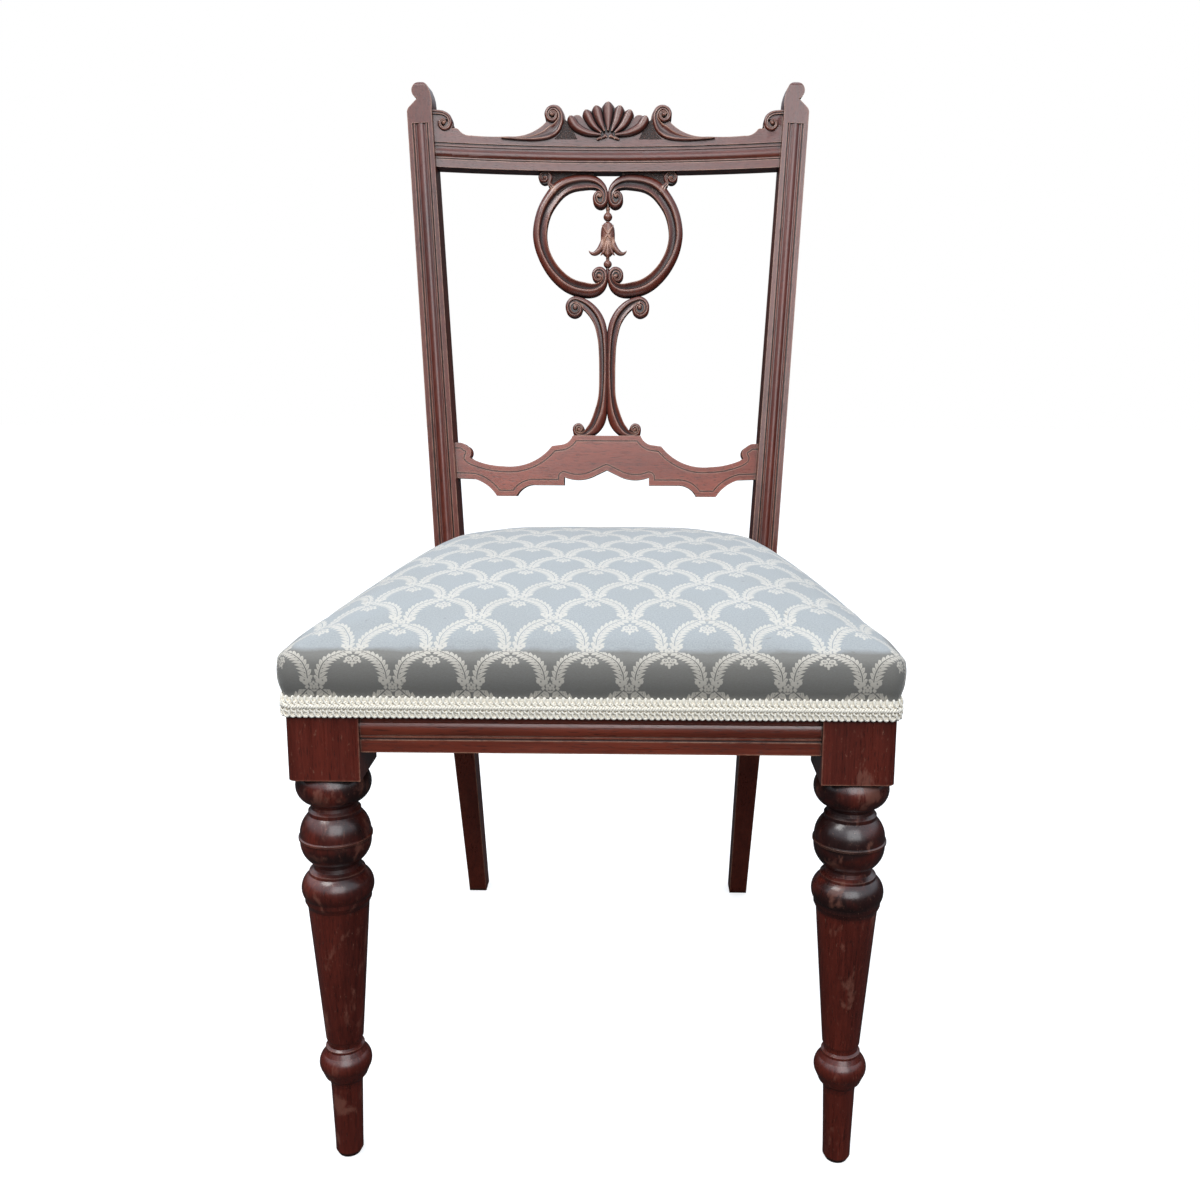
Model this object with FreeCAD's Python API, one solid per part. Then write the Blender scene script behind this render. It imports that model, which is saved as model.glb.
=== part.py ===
"""An Edwardian side chair in mahogany: turned front legs, reeded back posts that lean back,
a bowed and carved crest rail, a pierced splat of two C-scrolls, and a stuffed-over seat.

Millimetres. X runs to the sitter's left as seen from in front, Y from front to back and
Z up from the floor. Everything is drawn from the line between the two front legs' axes
(Y = 0) and set down at the end with the origin in the middle of the chair's footprint.
"""
import FreeCAD, Part
import math
import os

# Overall frame of the chair

front_leg_half_spacing = 202.0      # middle of the chair to a front leg's axis
rear_post_half_spacing = 170.0      # middle of the chair to a post, at the seat
rear_post_top_half_spacing = 199.0  # the same at the post's shoulder: the posts splay
rear_foot_half_spacing = 160.0      # the same on the floor
seat_depth = 375.0                  # front legs' axes to the posts' front face
seat_line = 445.0                   # height where the posts begin to lean back
shoulder_height = 905.0             # height of the posts' shoulders
back_run = 64.0                     # how far the posts lean back from seat line to shoulder
heel_run = 106.0                    # how far the rear feet stand behind the posts at the seat

# Seat frame

rail_top = 414.0
rail_bottom = 356.0
rail_thickness = 22.0
front_rail_thickness = 25.0
front_moulding_top = 387.0          # above this the cloth covers the front rail
front_moulding_setback = 3.0        # the moulded face lies this far behind the leg blocks
rear_rail_setback = 8.0             # the rear rail's face behind the posts' front face
rail_arris = 2.0                    # rounding along the rails' lower outer edges

# Front legs

leg_block = 56.0                    # the square part that takes the rails
leg_block_bottom = 334.0            # the turning starts under this
leg_block_rounding = 7.0
leg_turning_radius = 28.5
# The turning from the floor up: (radius share, height share); a pair of these is an arc
# that passes through the first and ends on the second.
turning_shares = [
    (0.316, 0.0),
    (0.393, 0.012),
    (0.396, 0.036),
    (0.449, 0.192),
    (0.477, 0.204),
    (0.596, 0.216),
    (0.681, 0.234),
    ((0.737, 0.257), (0.614, 0.278)),
    (0.547, 0.289),
    (0.547, 0.295),
    (0.477, 0.299),
    (0.477, 0.306),
    (0.526, 0.317),
    (0.842, 0.665),
    (0.915, 0.679),
    (0.919, 0.689),
    ((0.993, 0.713), (0.772, 0.747)),
    (0.765, 0.754),
    (0.639, 0.760),
    (0.611, 0.768),
    (0.646, 0.775),
    ((0.912, 0.802), (0.968, 0.834)),
    (1.007, 0.836),
    (1.007, 0.841),
    (0.968, 0.843),
    ((0.912, 0.871), (0.716, 0.895)),
    (0.716, 0.904),
    (0.639, 0.910),
    (0.618, 0.917),
    (0.684, 0.925),
    (0.842, 0.933),
    ((1.025, 0.964), (0.895, 0.997)),
    (0.895, 1.0),
]

# Rear legs, each one piece with its post

post_width = 27.5                   # across the front face, at the seat
post_top_width = 26.0
post_depth = 36.0                   # front to back, at the seat
post_top_depth = 31.0
rear_foot_width = 20.5
rear_foot_depth = 26.0
knee_height = 350.0                 # the leg starts to sweep back under this
knee_bend_radius = 160.0
seat_bend_radius = 200.0
knob_radius = 9.0
knob_rise = 28.5                    # the finial's top above the shoulder
knob_offset = 0.8                   # the finial's centre inside the post's middle
knob_neck_angle = -70.0             # where the knob's circle meets the shoulder's slope
knob_shoulder_angle = 160.0         # where it meets the sweep of the inner side
knob_sweep_share = 0.06
shoulder_rounding = 2.5
finial_rounding = 5.0

# Reeded panel on each post's front face, measured across the face

panel_top_drop = 14.4               # from the post's shoulder down to the panel's top
panel_bottom = -20.0
panel_depth = 1.8
panel_half_width = 8.4
panel_bead_outer = 7.4
panel_bead_inner = 5.2
panel_reed_half_width = 3.9
panel_crown = 0.4                   # the reeds' tops lie this far below the face

# Back, in its own plane: X across, N backwards from the posts' front faces, V up the slope

bow_sagitta = 16.0                  # the bow of both rails between the posts
bow_setback = 8.0                   # the rails' faces behind the posts' faces, at the posts
back_rail_thickness = 20.0
tenon_thickness = 9.0
tenon_length = 13.0
tenon_shoulder = 5.0                # from the tenon to the rail's upper and lower edges

crest_drop = 57.4                   # from the posts' shoulders down to the crest's lower edge
crest_moulding_height = 26.0
crest_rise = 46.2                   # the carved edge above the moulding
crest_post_inset = 18.0             # its outline is drawn to this far inside the posts' middles
moulding_relief = 2.4
plate_setback = 0.9                 # the carved face behind the moulding's foremost line
# The moulding from its lower edge up: (depth share, height share)
moulding_shares = [
    (0.4, 0.0),
    (0.4, 0.33),
    (1.0, 0.33),
    (1.0, 0.36),
    (0.6, 0.375),
    (0.6, 0.425),
    (1.0, 0.44),
    (0.5, 0.44),
    ((0.0, 0.595), (0.5, 0.75)),
    (1.0, 0.77),
    (1.0, 0.845),
    (0.6, 0.865),
    (0.6, 0.925),
    (1.0, 0.945),
    (1.0, 1.0),
]
# The carved edge from the middle outwards: (share of the half span, share of the rise)
crest_edge_shares = [
    (0.0, 0.80),
    ((0.133, 0.670), (0.225, 0.400)),
    ((0.240, 0.480), (0.252, 0.563)),
    ((0.257, 0.703), (0.273, 0.833)),
    ((0.312, 0.948), (0.351, 0.905)),
    ((0.374, 0.758), (0.360, 0.584)),
    ((0.448, 0.316), (0.591, 0.199)),
    ((0.696, 0.177), (0.807, 0.186)),
    ((0.851, 0.212), (0.876, 0.288)),
    ((0.886, 0.325), (0.901, 0.331)),
    (0.919, 0.325),
    ((0.917, 0.476), (0.941, 0.597)),
    ((0.970, 0.654), (1.060, 0.671)),
]
shell_half_width = 44.0
shell_root_radius = 1.6
shell_lobe_radius = 6.6
# Lobes from the middle outwards: root and tip as (share of the shell's half width, share of
# the rise), then the radius share
shell_lobe_shares = [
    ((0.0, 0.40), (0.0, 0.925), 1.12),
    ((0.10, 0.38), (0.29, 0.86), 0.96),
    ((0.22, 0.32), (0.53, 0.76), 0.96),
    ((0.36, 0.25), (0.82, 0.63), 1.04),
]
shell_curl_radius = 3.2
shell_curl_out = 4.6
shell_curl_rise_share = 0.38
shell_relief = 1.6                  # the lobes' axes lie this far behind the plate's face

# Volutes cut into the crest: eye places as (share of the half span, share of the rise)
crest_volute_shares = [(0.331, 0.742), (0.950, 0.400)]
crest_volute_radii = [5.6, 4.6]
crest_volute_starts = [150.0, -60.0]
volute_sweep = 290.0
volute_groove_share = 0.28          # its half width and depth on its radius

lower_rail_bottom = 57.7            # up the slope, under its two lobes
lower_rail_height = 66.0
lower_rail_post_inset = 10.6        # its outline is drawn to this far inside the posts' middles
lower_tenon_shares = (0.333, 0.8)   # the tenon's shoulders on the rail's height
# Upper edge from the middle outwards, then the lower edge back to the middle
lower_rail_edge_shares = [
    (0.0, 1.0),
    (0.227, 1.0),
    ((0.253, 0.902), (0.310, 0.844)),
    (0.365, 0.824),
    ((0.491, 0.570), (0.687, 0.486)),
    ((0.798, 0.520), (0.890, 0.595)),
    (0.908, 0.626),
    ((0.898, 0.724), (0.929, 0.815)),
    ((0.948, 0.850), (0.972, 0.864)),
    (1.060, 0.864),
    (1.060, 0.288),
    (0.880, 0.274),
    ((0.798, 0.179), (0.730, 0.0)),
    (0.601, 0.0),
    ((0.558, 0.126), (0.472, 0.183)),
    (0.284, 0.183),
    (0.284, 0.315),
    ((0.181, 0.271), (0.074, 0.345)),
    (0.0, 0.433),
]

# A line cut along the lower rail's edges
incised_inset = 5.2
incised_width = 1.3
incised_depth = 0.9

# Splat. What lies in its face is a share of its height between the two rails.

splat_setback = 3.0                 # its face behind the crest rail's face, in the middle
splat_thickness = 13.0
crest_gap_share = 0.0134            # between the ring and the crest
ring_radius_share = 0.2312
ring_band_share = 0.0551
ring_axis_share = 0.0529            # each C-scroll's centre from the middle
ring_neck_angle = 83.0              # where a scroll's inner edge leaves its circle
ring_cove_share = 0.0226
ring_rim_share = 0.0042
scroll_bevel_share = 0.0092         # the carved slope along the scrolls' edges
upper_volute_share = 0.0258
upper_volute_rise_share = 0.1235    # above the ring's centre
upper_volute_start = 100.0
lower_volute_share = 0.0275
lower_volute_drop_share = 0.1472
lower_volute_start = 0.0
volute_eye_share = 0.52
web_setback = 4.0
web_start_share = 0.0706
web_ring_angles = (45.0, 60.0, 75.0)
ear_volute_share = 0.0254
ear_volute_out_share = 0.2411
ear_volute_start = 180.0
stem_width_share = 0.1588
# One bar of the stem from the upper fork round to the lower fork: (half width share, height
# share). Its corners at the head and the foot lie inside the volutes there.
stem_shares = [
    (0.0, 0.785),
    ((0.218, 0.901), (0.444, 1.015)),
    (0.830, 1.030),
    (0.830, 0.905),
    (0.600, 0.894),
    ((0.193, 0.494), (0.556, 0.060)),
    (0.700, 0.055),
    (0.800, 0.0),
    (0.322, 0.0),
    ((0.167, 0.073), (0.0, 0.158)),
]
# The stem's volutes: (half width share, height share, radius share)
stem_volute_shares = [(0.822, 0.912, 0.176), (0.700, 0.053, 0.156)]
stem_volute_starts = [60.0, -60.0]
stem_groove_share = 0.005           # the line between the two bars at the waist
bell_rise_share = 0.0505            # its top above the ring's centre
bell_height_share = 0.1377
bell_width_share = 0.0692
bell_shares = [
    (0.0, 1.0),
    (0.10, 0.99),
    ((0.38, 0.86), (0.43, 0.66)),
    (0.44, 0.44),
    ((0.56, 0.20), (0.98, 0.16)),
    (1.0, 0.10),
    ((0.78, 0.01), (0.48, 0.03)),
    (0.22, 0.13),
    (0.0, 0.0),
]
bead_share = 0.018
bead_rise_share = 0.066
drop_share = 0.0162
drop_fall_share = 0.114
drop_neck_share = 0.0067
splat_tenon_thickness = 5.0
splat_tenon_depth = 8.0
head_tenon_shares = (0.12, 0.205)
foot_tenon_shares = (0.0635, 0.12)

# Dowels, corner blocks and screws

dowel_radius = 4.75
dowel_length = 42.0
dowel_chamfer = 1.2
dowel_spacing = 26.0                # between the two dowels of a joint
dowel_stagger_share = 0.25
glue_gap = 0.1
block_length = 52.0                 # along each rail
block_height = 38.0
block_drop = 8.0                    # below the rails' tops
screw_length = 30.0
screw_radius = 2.1
screw_head_radius = 4.2
screw_head_height = 3.2
screw_slot_width = 1.0
screw_slot_depth = 1.1
screw_gap = 0.1
screw_reach_share = 0.62            # along the block, from the corner

# Webbing and base cloth

strap_width = 50.0
strap_thickness = 1.2
strap_layer_gap = 0.1
strap_ramp = 9.0
strap_count = 4
strap_post_gap = 5.25               # from the outer long straps to the posts
cross_strap_first = 62.0            # behind the front legs' axes
cross_strap_last = 55.0             # before the posts' front faces
strap_end_margin = 5.0              # from the rails' outer edges
tack_head_radius = 3.4
tack_head_thickness = 0.7
tack_shank = 1.5
tack_tip = 0.3
tack_length = 12.0
tack_inset = 12.0                   # from the strap's end
tack_spacing = 26.0
tack_gap = 0.1
tack_sides = 8
hessian_thickness = 0.8
hessian_margin = 4.0

# Seat

cover_thickness = 1.2
cover_gap = 0.3
cover_bottom = 385.5
cushion_shoulder = 440.0            # where the sides end and the crown starts
cushion_bulge = 4.0                 # how far the sides swell past the frame
# The sides from the braid up: (share of the bulge, share of the side's height)
cushion_side_shares = [(0.0, 0.0), (0.62, 0.22), (1.0, 0.50), (0.85, 0.80), (0.0, 1.0)]
frame_bend_radius = 100.0           # where the cloth turns from the leg block to the side rail
crown_rise = 47.0
# The crown from front to back: (share of the depth, share of the rise)
crown_shares = [
    (-0.01, 0.02), (0.06, 0.25), (0.20, 0.60), (0.42, 0.92), (0.66, 1.0), (0.86, 0.78), (1.01, 0.46),
]
post_notch_gap = 0.4

# Gimp braid over the cover's lower edge

gimp_height = 17.5
gimp_thickness = 2.0
gimp_bottom = 385.0

overrun = 10.0                      # how far a cut passes the surface that it opens

# Places that follow from the sizes above

rake = math.atan2(back_run, shoulder_height - seat_line)
back_slope = math.hypot(back_run, shoulder_height - seat_line)
back_splay = (rear_post_top_half_spacing - rear_post_half_spacing) / back_slope
block_half = leg_block / 2
front_face = -block_half
frame_front_half = front_leg_half_spacing + block_half
frame_rear_half = rear_post_half_spacing + post_width / 2
post_inner = rear_post_half_spacing - post_width / 2
rear_rail_front = seat_depth + rear_rail_setback
rear_rail_back = rear_rail_front + rail_thickness
crest_half_span = rear_post_top_half_spacing - crest_post_inset
bow_radius = (crest_half_span ** 2 + bow_sagitta ** 2) / (2 * bow_sagitta)
bow_middle = bow_setback + bow_sagitta
crest_bottom = back_slope - crest_drop
moulding_top = crest_bottom + crest_moulding_height
panel_top = back_slope - panel_top_drop
lower_rail_top = lower_rail_bottom + lower_rail_height
lower_rail_half_span = rear_post_half_spacing + back_splay * lower_rail_bottom - lower_rail_post_inset
splat_front = bow_middle + splat_setback
splat_back = splat_front + splat_thickness
splat_height = crest_bottom - lower_rail_top
ring_radius = ring_radius_share * splat_height
ring_height = crest_bottom - crest_gap_share * splat_height - ring_radius
ring_inner = ring_radius - ring_band_share * splat_height
ring_axis_out = ring_axis_share * splat_height
scroll_bevel = scroll_bevel_share * splat_height
upper_volute = ring_height + upper_volute_rise_share * splat_height
upper_volute_radius = upper_volute_share * splat_height
lower_volute = ring_height - lower_volute_drop_share * splat_height
lower_volute_radius = lower_volute_share * splat_height
ear_volute_radius = ear_volute_share * splat_height
ear_volute_out = ear_volute_out_share * splat_height
stem_height = ring_height - ring_radius - lower_rail_top
stem_half_width = stem_width_share * splat_height
bell_height = bell_height_share * splat_height
long_strap_pitch = 2 * (post_inner - strap_post_gap - strap_width / 2) / (strap_count - 1)
cross_strap_pitch = (seat_depth - cross_strap_first - cross_strap_last) / (strap_count - 1)
webbing_top = rail_top + 2 * strap_thickness + strap_layer_gap
stuffing_base = webbing_top + strap_layer_gap + hessian_thickness
front_most = front_face - cover_gap - cover_thickness - cushion_bulge
heel_back = seat_depth + heel_run + rear_foot_depth
origin_run = (front_most + heel_back) / 2


def front_view(x, z):
    """A point of an outline drawn from in front."""
    return FreeCAD.Vector(x, 0, z)


def side_view(y, z):
    """A point of an outline drawn from the side."""
    return FreeCAD.Vector(0, y, z)


def plan_view(x, y):
    """A point of an outline drawn from above."""
    return FreeCAD.Vector(x, y, 0)


def closed_wire(steps, view):
    """A closed outline: each step is an end point, or (on the way, end) for an arc."""
    edges = []
    here = view(*steps[0])
    for step in list(steps[1:]) + [steps[0]]:
        if isinstance(step[0], tuple):
            end = view(*step[1])
            edges.append(Part.Arc(here, view(*step[0]), end).toShape())
        else:
            end = view(*step)
            if end.distanceToPoint(here) > glue_gap * glue_gap:
                edges.append(Part.LineSegment(here, end).toShape())
        here = end
    return Part.Wire(edges)


def rounded_wire(corners, view):
    """A closed outline of straight lines, with each corner (a, b, radius) rounded by an arc."""
    steps = []
    count = len(corners)
    for index, (a, b, radius) in enumerate(corners):
        if not radius:
            steps.append((a, b))
            continue
        before = corners[index - 1]
        after = corners[(index + 1) % count]
        first = math.atan2(before[1] - b, before[0] - a)
        second = math.atan2(after[1] - b, after[0] - a)
        half = abs(math.remainder(second - first, math.tau)) / 2
        middle = first + math.remainder(second - first, math.tau) / 2
        reach = radius / math.tan(half)
        centre = radius / math.sin(half)
        steps.append((a + reach * math.cos(first), b + reach * math.sin(first)))
        on_arc = centre - radius
        through = (a + on_arc * math.cos(middle), b + on_arc * math.sin(middle))
        steps.append((through, (a + reach * math.cos(second), b + reach * math.sin(second))))
    if isinstance(steps[0][0], tuple):
        steps = steps[1:] + steps[:1]
    return closed_wire(steps, view)


def slab(wire, direction):
    """The solid that a flat outline sweeps along a vector."""
    return Part.Face(wire).extrude(FreeCAD.Vector(*direction))


def scaled(shares, width, height, base):
    """An outline given in shares, at its real size, with heights counted from a base."""
    def place(pair):
        return (pair[0] * width, base + pair[1] * height)
    return [tuple(place(p) for p in s) if isinstance(s[0], tuple) else place(s) for s in shares]


def shifted(steps, distance):
    """An outline moved along its first coordinate."""
    def place(pair):
        return (pair[0] + distance, pair[1])
    return [tuple(place(p) for p in s) if isinstance(s[0], tuple) else place(s) for s in steps]


def box(low, high):
    """A block between two corners."""
    size = [b - a for a, b in zip(low, high)]
    return Part.makeBox(size[0], size[1], size[2], FreeCAD.Vector(*low))


def mirrored(shape):
    """The same shape on the other side of the chair."""
    return shape.mirror(FreeCAD.Vector(0, 0, 0), FreeCAD.Vector(1, 0, 0))


def both_sides(shape):
    """A symmetrical piece from its right half."""
    return shape.fuse(mirrored(shape)).removeSplitter()


def together(shapes):
    """Several shapes fused into one."""
    return shapes[0].multiFuse(shapes[1:]).removeSplitter()


def both_halves(steps):
    """A whole outline from its right half, which starts and ends on the middle line."""
    def flip(pair):
        return (-pair[0], pair[1])

    ends = [s[1] if isinstance(s[0], tuple) else s for s in steps]
    left = []
    for index in range(len(steps) - 1, 0, -1):
        step = steps[index]
        if isinstance(step[0], tuple):
            left.append((flip(step[0]), flip(ends[index - 1])))
        else:
            left.append(flip(ends[index - 1]))
    return steps + left


def deep_slab(wire):
    """An outline in the back's plane carried right through both bowed rails."""
    return slab(wire, (0, bow_middle + 2 * back_rail_thickness, 0))


def lean(shape):
    """Takes a shape from the back's own plane to its place on the chair."""
    turned = shape.copy()
    turned.rotate(FreeCAD.Vector(0, 0, 0), FreeCAD.Vector(1, 0, 0), -math.degrees(rake))
    turned.translate(FreeCAD.Vector(0, seat_depth, seat_line))
    return turned


def lean_back(shape):
    """Takes a shape from its place on the chair to the back's own plane."""
    turned = shape.copy()
    turned.translate(FreeCAD.Vector(0, -seat_depth, -seat_line))
    turned.rotate(FreeCAD.Vector(0, 0, 0), FreeCAD.Vector(1, 0, 0), math.degrees(rake))
    return turned


def post_axis(v):
    """The middle of a post's front face at a distance up the slope."""
    return rear_post_half_spacing + back_splay * v


def bow_face(x):
    """How far the bowed rails' faces lie behind the posts' faces at a distance from the middle."""
    return bow_middle - bow_radius + math.sqrt(bow_radius ** 2 - x ** 2)


def bow_axis(v):
    """A point on the axis that both bowed rails curve about."""
    return FreeCAD.Vector(0, bow_middle - bow_radius, v)


def bowed_plate(bottom, top, front, back):
    """A bowed board between two heights up the slope, its two faces this far behind the bow."""
    inner = Part.makeCylinder(bow_radius + front, top - bottom, bow_axis(bottom))
    outer = Part.makeCylinder(bow_radius + back, top - bottom, bow_axis(bottom))
    half = crest_half_span + post_width
    return outer.cut(inner).common(box((-half, 0, bottom), (half, bow_middle + 2 * back_rail_thickness, top)))


def cut_rounding(shape, radius, test):
    """Rounds the edges whose middle point passes a test."""
    edges = [e for e in shape.Edges if test(e)]
    return shape.makeFillet(radius, edges)


def carved_prism(wire, front, back, bevel):
    """A board cut to an outline in the back's plane, with its front edges carved to a slope."""
    prism = slab(wire, (0, back - front, 0))
    prism.translate(FreeCAD.Vector(0, front, 0))
    rim = [e for e in prism.Edges if abs(e.BoundBox.YMax - front) < glue_gap]
    return prism.makeChamfer(bevel, rim)


def volute_groove(x, v, depth, radius, start):
    """The V-shaped groove that winds about a volute's eye."""
    half = volute_groove_share * radius
    section = [(radius - 2 * half, -half), (radius, half), (radius + 2 * half, -half)]
    groove = Part.Face(closed_wire(section, plan_view)).revolve(
        FreeCAD.Vector(0, 0, 0), FreeCAD.Vector(0, 1, 0), volute_sweep)
    groove.rotate(FreeCAD.Vector(0, 0, 0), FreeCAD.Vector(0, 1, 0), -start - volute_sweep)
    groove.translate(FreeCAD.Vector(x, depth, v))
    return groove


def volute(shape, place, radius, front, start):
    """Adds a volute's round to a carved piece and cuts its spiral."""
    disc = Part.makeCylinder(
        radius, splat_thickness, FreeCAD.Vector(place[0], front, place[1]), FreeCAD.Vector(0, 1, 0))
    disc = disc.makeChamfer(scroll_bevel / 2, [e for e in disc.Edges if e.BoundBox.YMax < front + glue_gap])
    groove = volute_groove(place[0], place[1], front, radius * volute_eye_share, start)
    return shape.fuse(disc).removeSplitter().cut(groove)


# Seat frame


def front_leg():
    """The right front leg: a square block over a turned column."""
    turning = scaled(turning_shares, leg_turning_radius, leg_block_bottom, 0)
    profile = [(0, 0)] + turning + [(0, leg_block_bottom)]
    column = Part.Face(closed_wire(profile, front_view)).revolve(
        FreeCAD.Vector(0, 0, 0), FreeCAD.Vector(0, 0, 1), 360)
    corners = [
        (block_half, -block_half, leg_block_rounding),
        (block_half, block_half, 0),
        (-block_half, block_half, 0),
        (-block_half, -block_half, 0),
    ]
    block = slab(rounded_wire(corners, plan_view), (0, 0, rail_top - leg_block_bottom))
    block.translate(FreeCAD.Vector(0, 0, leg_block_bottom))
    leg = column.fuse(block).removeSplitter()
    leg.translate(FreeCAD.Vector(front_leg_half_spacing, 0, 0))
    return leg


def rear_leg_side_outline():
    """The rear leg from the side: a raked post, an upright joint and a leg that sweeps back."""
    top = shoulder_height + knob_rise
    slope = math.tan(rake)
    top_front = seat_depth + slope * (top - seat_line)
    corners = [
        (seat_depth + heel_run, 0, 0),
        (seat_depth + heel_run + rear_foot_depth, 0, 0),
        (seat_depth + post_depth, knee_height, knee_bend_radius),
        (seat_depth + post_depth, seat_line, seat_bend_radius),
        (top_front + post_top_depth, top, finial_rounding),
        (top_front, top, finial_rounding),
        (seat_depth, seat_line, seat_bend_radius),
        (seat_depth, knee_height, knee_bend_radius),
    ]
    return rounded_wire(corners, side_view)


def rear_leg_front_outline():
    """The right rear leg from in front, with the knob that finishes the post."""
    shoulder_inner = rear_post_top_half_spacing - post_top_width / 2
    shoulder_outer = rear_post_top_half_spacing + post_top_width / 2
    centre = (rear_post_top_half_spacing - knob_offset, shoulder_height + knob_rise - knob_radius)

    def on_knob(angle):
        turn = math.radians(angle)
        return (centre[0] + knob_radius * math.cos(turn), centre[1] + knob_radius * math.sin(turn))

    sweep_end = on_knob(knob_shoulder_angle)
    sweep_middle = (
        (shoulder_inner + sweep_end[0]) / 2 - knob_sweep_share * knob_rise,
        (shoulder_height + sweep_end[1]) / 2,
    )
    neck = on_knob(knob_neck_angle)
    slope = math.atan2(shoulder_height - neck[1], shoulder_outer - neck[0])
    before = (
        shoulder_outer - shoulder_rounding * math.cos(slope),
        shoulder_height - shoulder_rounding * math.sin(slope),
    )
    after = (shoulder_outer, shoulder_height - shoulder_rounding)
    corner = ((before[0] + after[0] + shoulder_outer) / 3, (before[1] + after[1] + shoulder_height) / 3)
    steps = [
        (rear_foot_half_spacing - rear_foot_width / 2, 0),
        (post_inner, seat_line),
        (shoulder_inner, shoulder_height),
        (sweep_middle, sweep_end),
        (on_knob((knob_shoulder_angle + knob_neck_angle) / 2), neck),
        before,
        (corner, after),
        (frame_rear_half, seat_line),
        (rear_foot_half_spacing + rear_foot_width / 2, 0),
    ]
    return closed_wire(steps, front_view)


def rear_leg_blank():
    """The right rear leg as sawn: what both of its outlines share."""
    wide = 2 * rear_post_top_half_spacing
    deep = 2 * heel_back
    from_side = slab(rear_leg_side_outline(), (wide, 0, 0))
    from_front = slab(rear_leg_front_outline(), (0, deep, 0))
    return from_side.common(from_front)


def beyond_post():
    """Everything on the far side of the right post's inner face, in the back's own plane."""
    lean_in = (rear_post_top_half_spacing - post_top_width / 2 - post_inner) / (shoulder_height - seat_line)
    low = seat_line - overrun
    high = shoulder_height + overrun
    far = 2 * rear_post_top_half_spacing
    outline = [
        (post_inner - overrun * lean_in, low),
        (post_inner + (high - seat_line) * lean_in, high),
        (far, high),
        (far, low),
    ]
    return lean_back(slab(closed_wire(outline, front_view), (0, heel_back + far, 0)))


def panel_cutter():
    """What the reeded panel takes out of a post's front face, in the back's plane."""
    steps = [
        (-panel_half_width, -overrun),
        (-panel_half_width, panel_depth),
        (-panel_bead_outer, panel_depth),
        ((-(panel_bead_outer + panel_bead_inner) / 2, panel_crown), (-panel_bead_inner, panel_depth)),
        (-panel_reed_half_width, panel_depth),
        ((0, panel_crown), (panel_reed_half_width, panel_depth)),
        (panel_bead_inner, panel_depth),
        (((panel_bead_outer + panel_bead_inner) / 2, panel_crown), (panel_bead_outer, panel_depth)),
        (panel_half_width, panel_depth),
        (panel_half_width, -overrun),
    ]
    run = post_axis(panel_top) - post_axis(panel_bottom)
    length = math.hypot(run, panel_top - panel_bottom)
    cutter = slab(closed_wire(steps, plan_view), (0, 0, length))
    cutter.rotate(FreeCAD.Vector(0, 0, 0), FreeCAD.Vector(0, 1, 0), math.degrees(math.asin(run / length)))
    cutter.translate(FreeCAD.Vector(post_axis(panel_bottom), 0, panel_bottom))
    return lean(cutter)


def back_tenons(bottom, top, grow):
    """The right-hand tenon of a bowed rail, grown by a gap for its mortise."""
    middle = (bottom + top) / 2
    inner = post_axis(middle) - post_width / 2
    face = bow_face(inner) + (back_rail_thickness - tenon_thickness) / 2
    return box(
        (inner - overrun, face - grow, bottom + tenon_shoulder - grow),
        (inner + tenon_length + grow, face + tenon_thickness + grow, top - tenon_shoulder + grow))


def rear_leg(blank, crest_mortise, lower_mortise):
    """The right rear leg with its reeded panel, two mortises and the seat rails' dowel holes."""
    leg = blank.cut(panel_cutter())
    leg = leg.cut(lean(crest_mortise)).cut(lean(lower_mortise))
    return leg.cut(Part.makeCompound(side_rear_dowels(glue_gap) + rear_rail_dowels(glue_gap)))


def dowel(start, direction, grow):
    """A dowel centred on a joint, or with a gap its hole."""
    axis = FreeCAD.Vector(*direction)
    half = dowel_length / 2 + grow
    base = FreeCAD.Vector(*start) - axis * half
    pin = Part.makeCylinder(dowel_radius + grow, 2 * half, base, axis)
    if grow:
        return pin
    return pin.makeChamfer(dowel_chamfer, [e for e in pin.Edges if len(e.Vertexes) == 1])


def dowel_heights(shift_share):
    """The two heights of a rail joint's dowels, moved from the middle by a share of their spacing
    so that those of two rails pass each other inside a leg."""
    middle = (rail_top + rail_bottom) / 2 + shift_share * dowel_spacing
    return [middle - dowel_spacing / 2, middle + dowel_spacing / 2]


def front_rail_dowels(grow):
    """The dowels between the front rail and the right front leg."""
    depth = front_face + front_moulding_setback + front_rail_thickness / 2
    shoulder = front_leg_half_spacing - block_half
    return [dowel((shoulder, depth, z), (1, 0, 0), grow) for z in dowel_heights(0)]


def side_rail_middle(y):
    """The middle of the right side rail's thickness at a place along the seat."""
    share = (y - block_half) / (seat_depth - block_half)
    return frame_front_half + share * (frame_rear_half - frame_front_half) - rail_thickness / 2


def side_front_dowels(grow):
    """The dowels between the right side rail and the front leg."""
    place = side_rail_middle(block_half)
    return [dowel((place, block_half, z), (0, 1, 0), grow) for z in dowel_heights(-dowel_stagger_share)]


def side_rear_dowels(grow):
    """The dowels between the right side rail and the rear leg."""
    place = side_rail_middle(seat_depth)
    return [dowel((place, seat_depth, z), (0, 1, 0), grow) for z in dowel_heights(-dowel_stagger_share)]


def rear_rail_dowels(grow):
    """The dowels between the rear rail and the right rear leg."""
    middle = (rear_rail_front + rear_rail_back) / 2
    return [dowel((post_inner, middle, z), (1, 0, 0), grow) for z in dowel_heights(dowel_stagger_share)]


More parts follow.
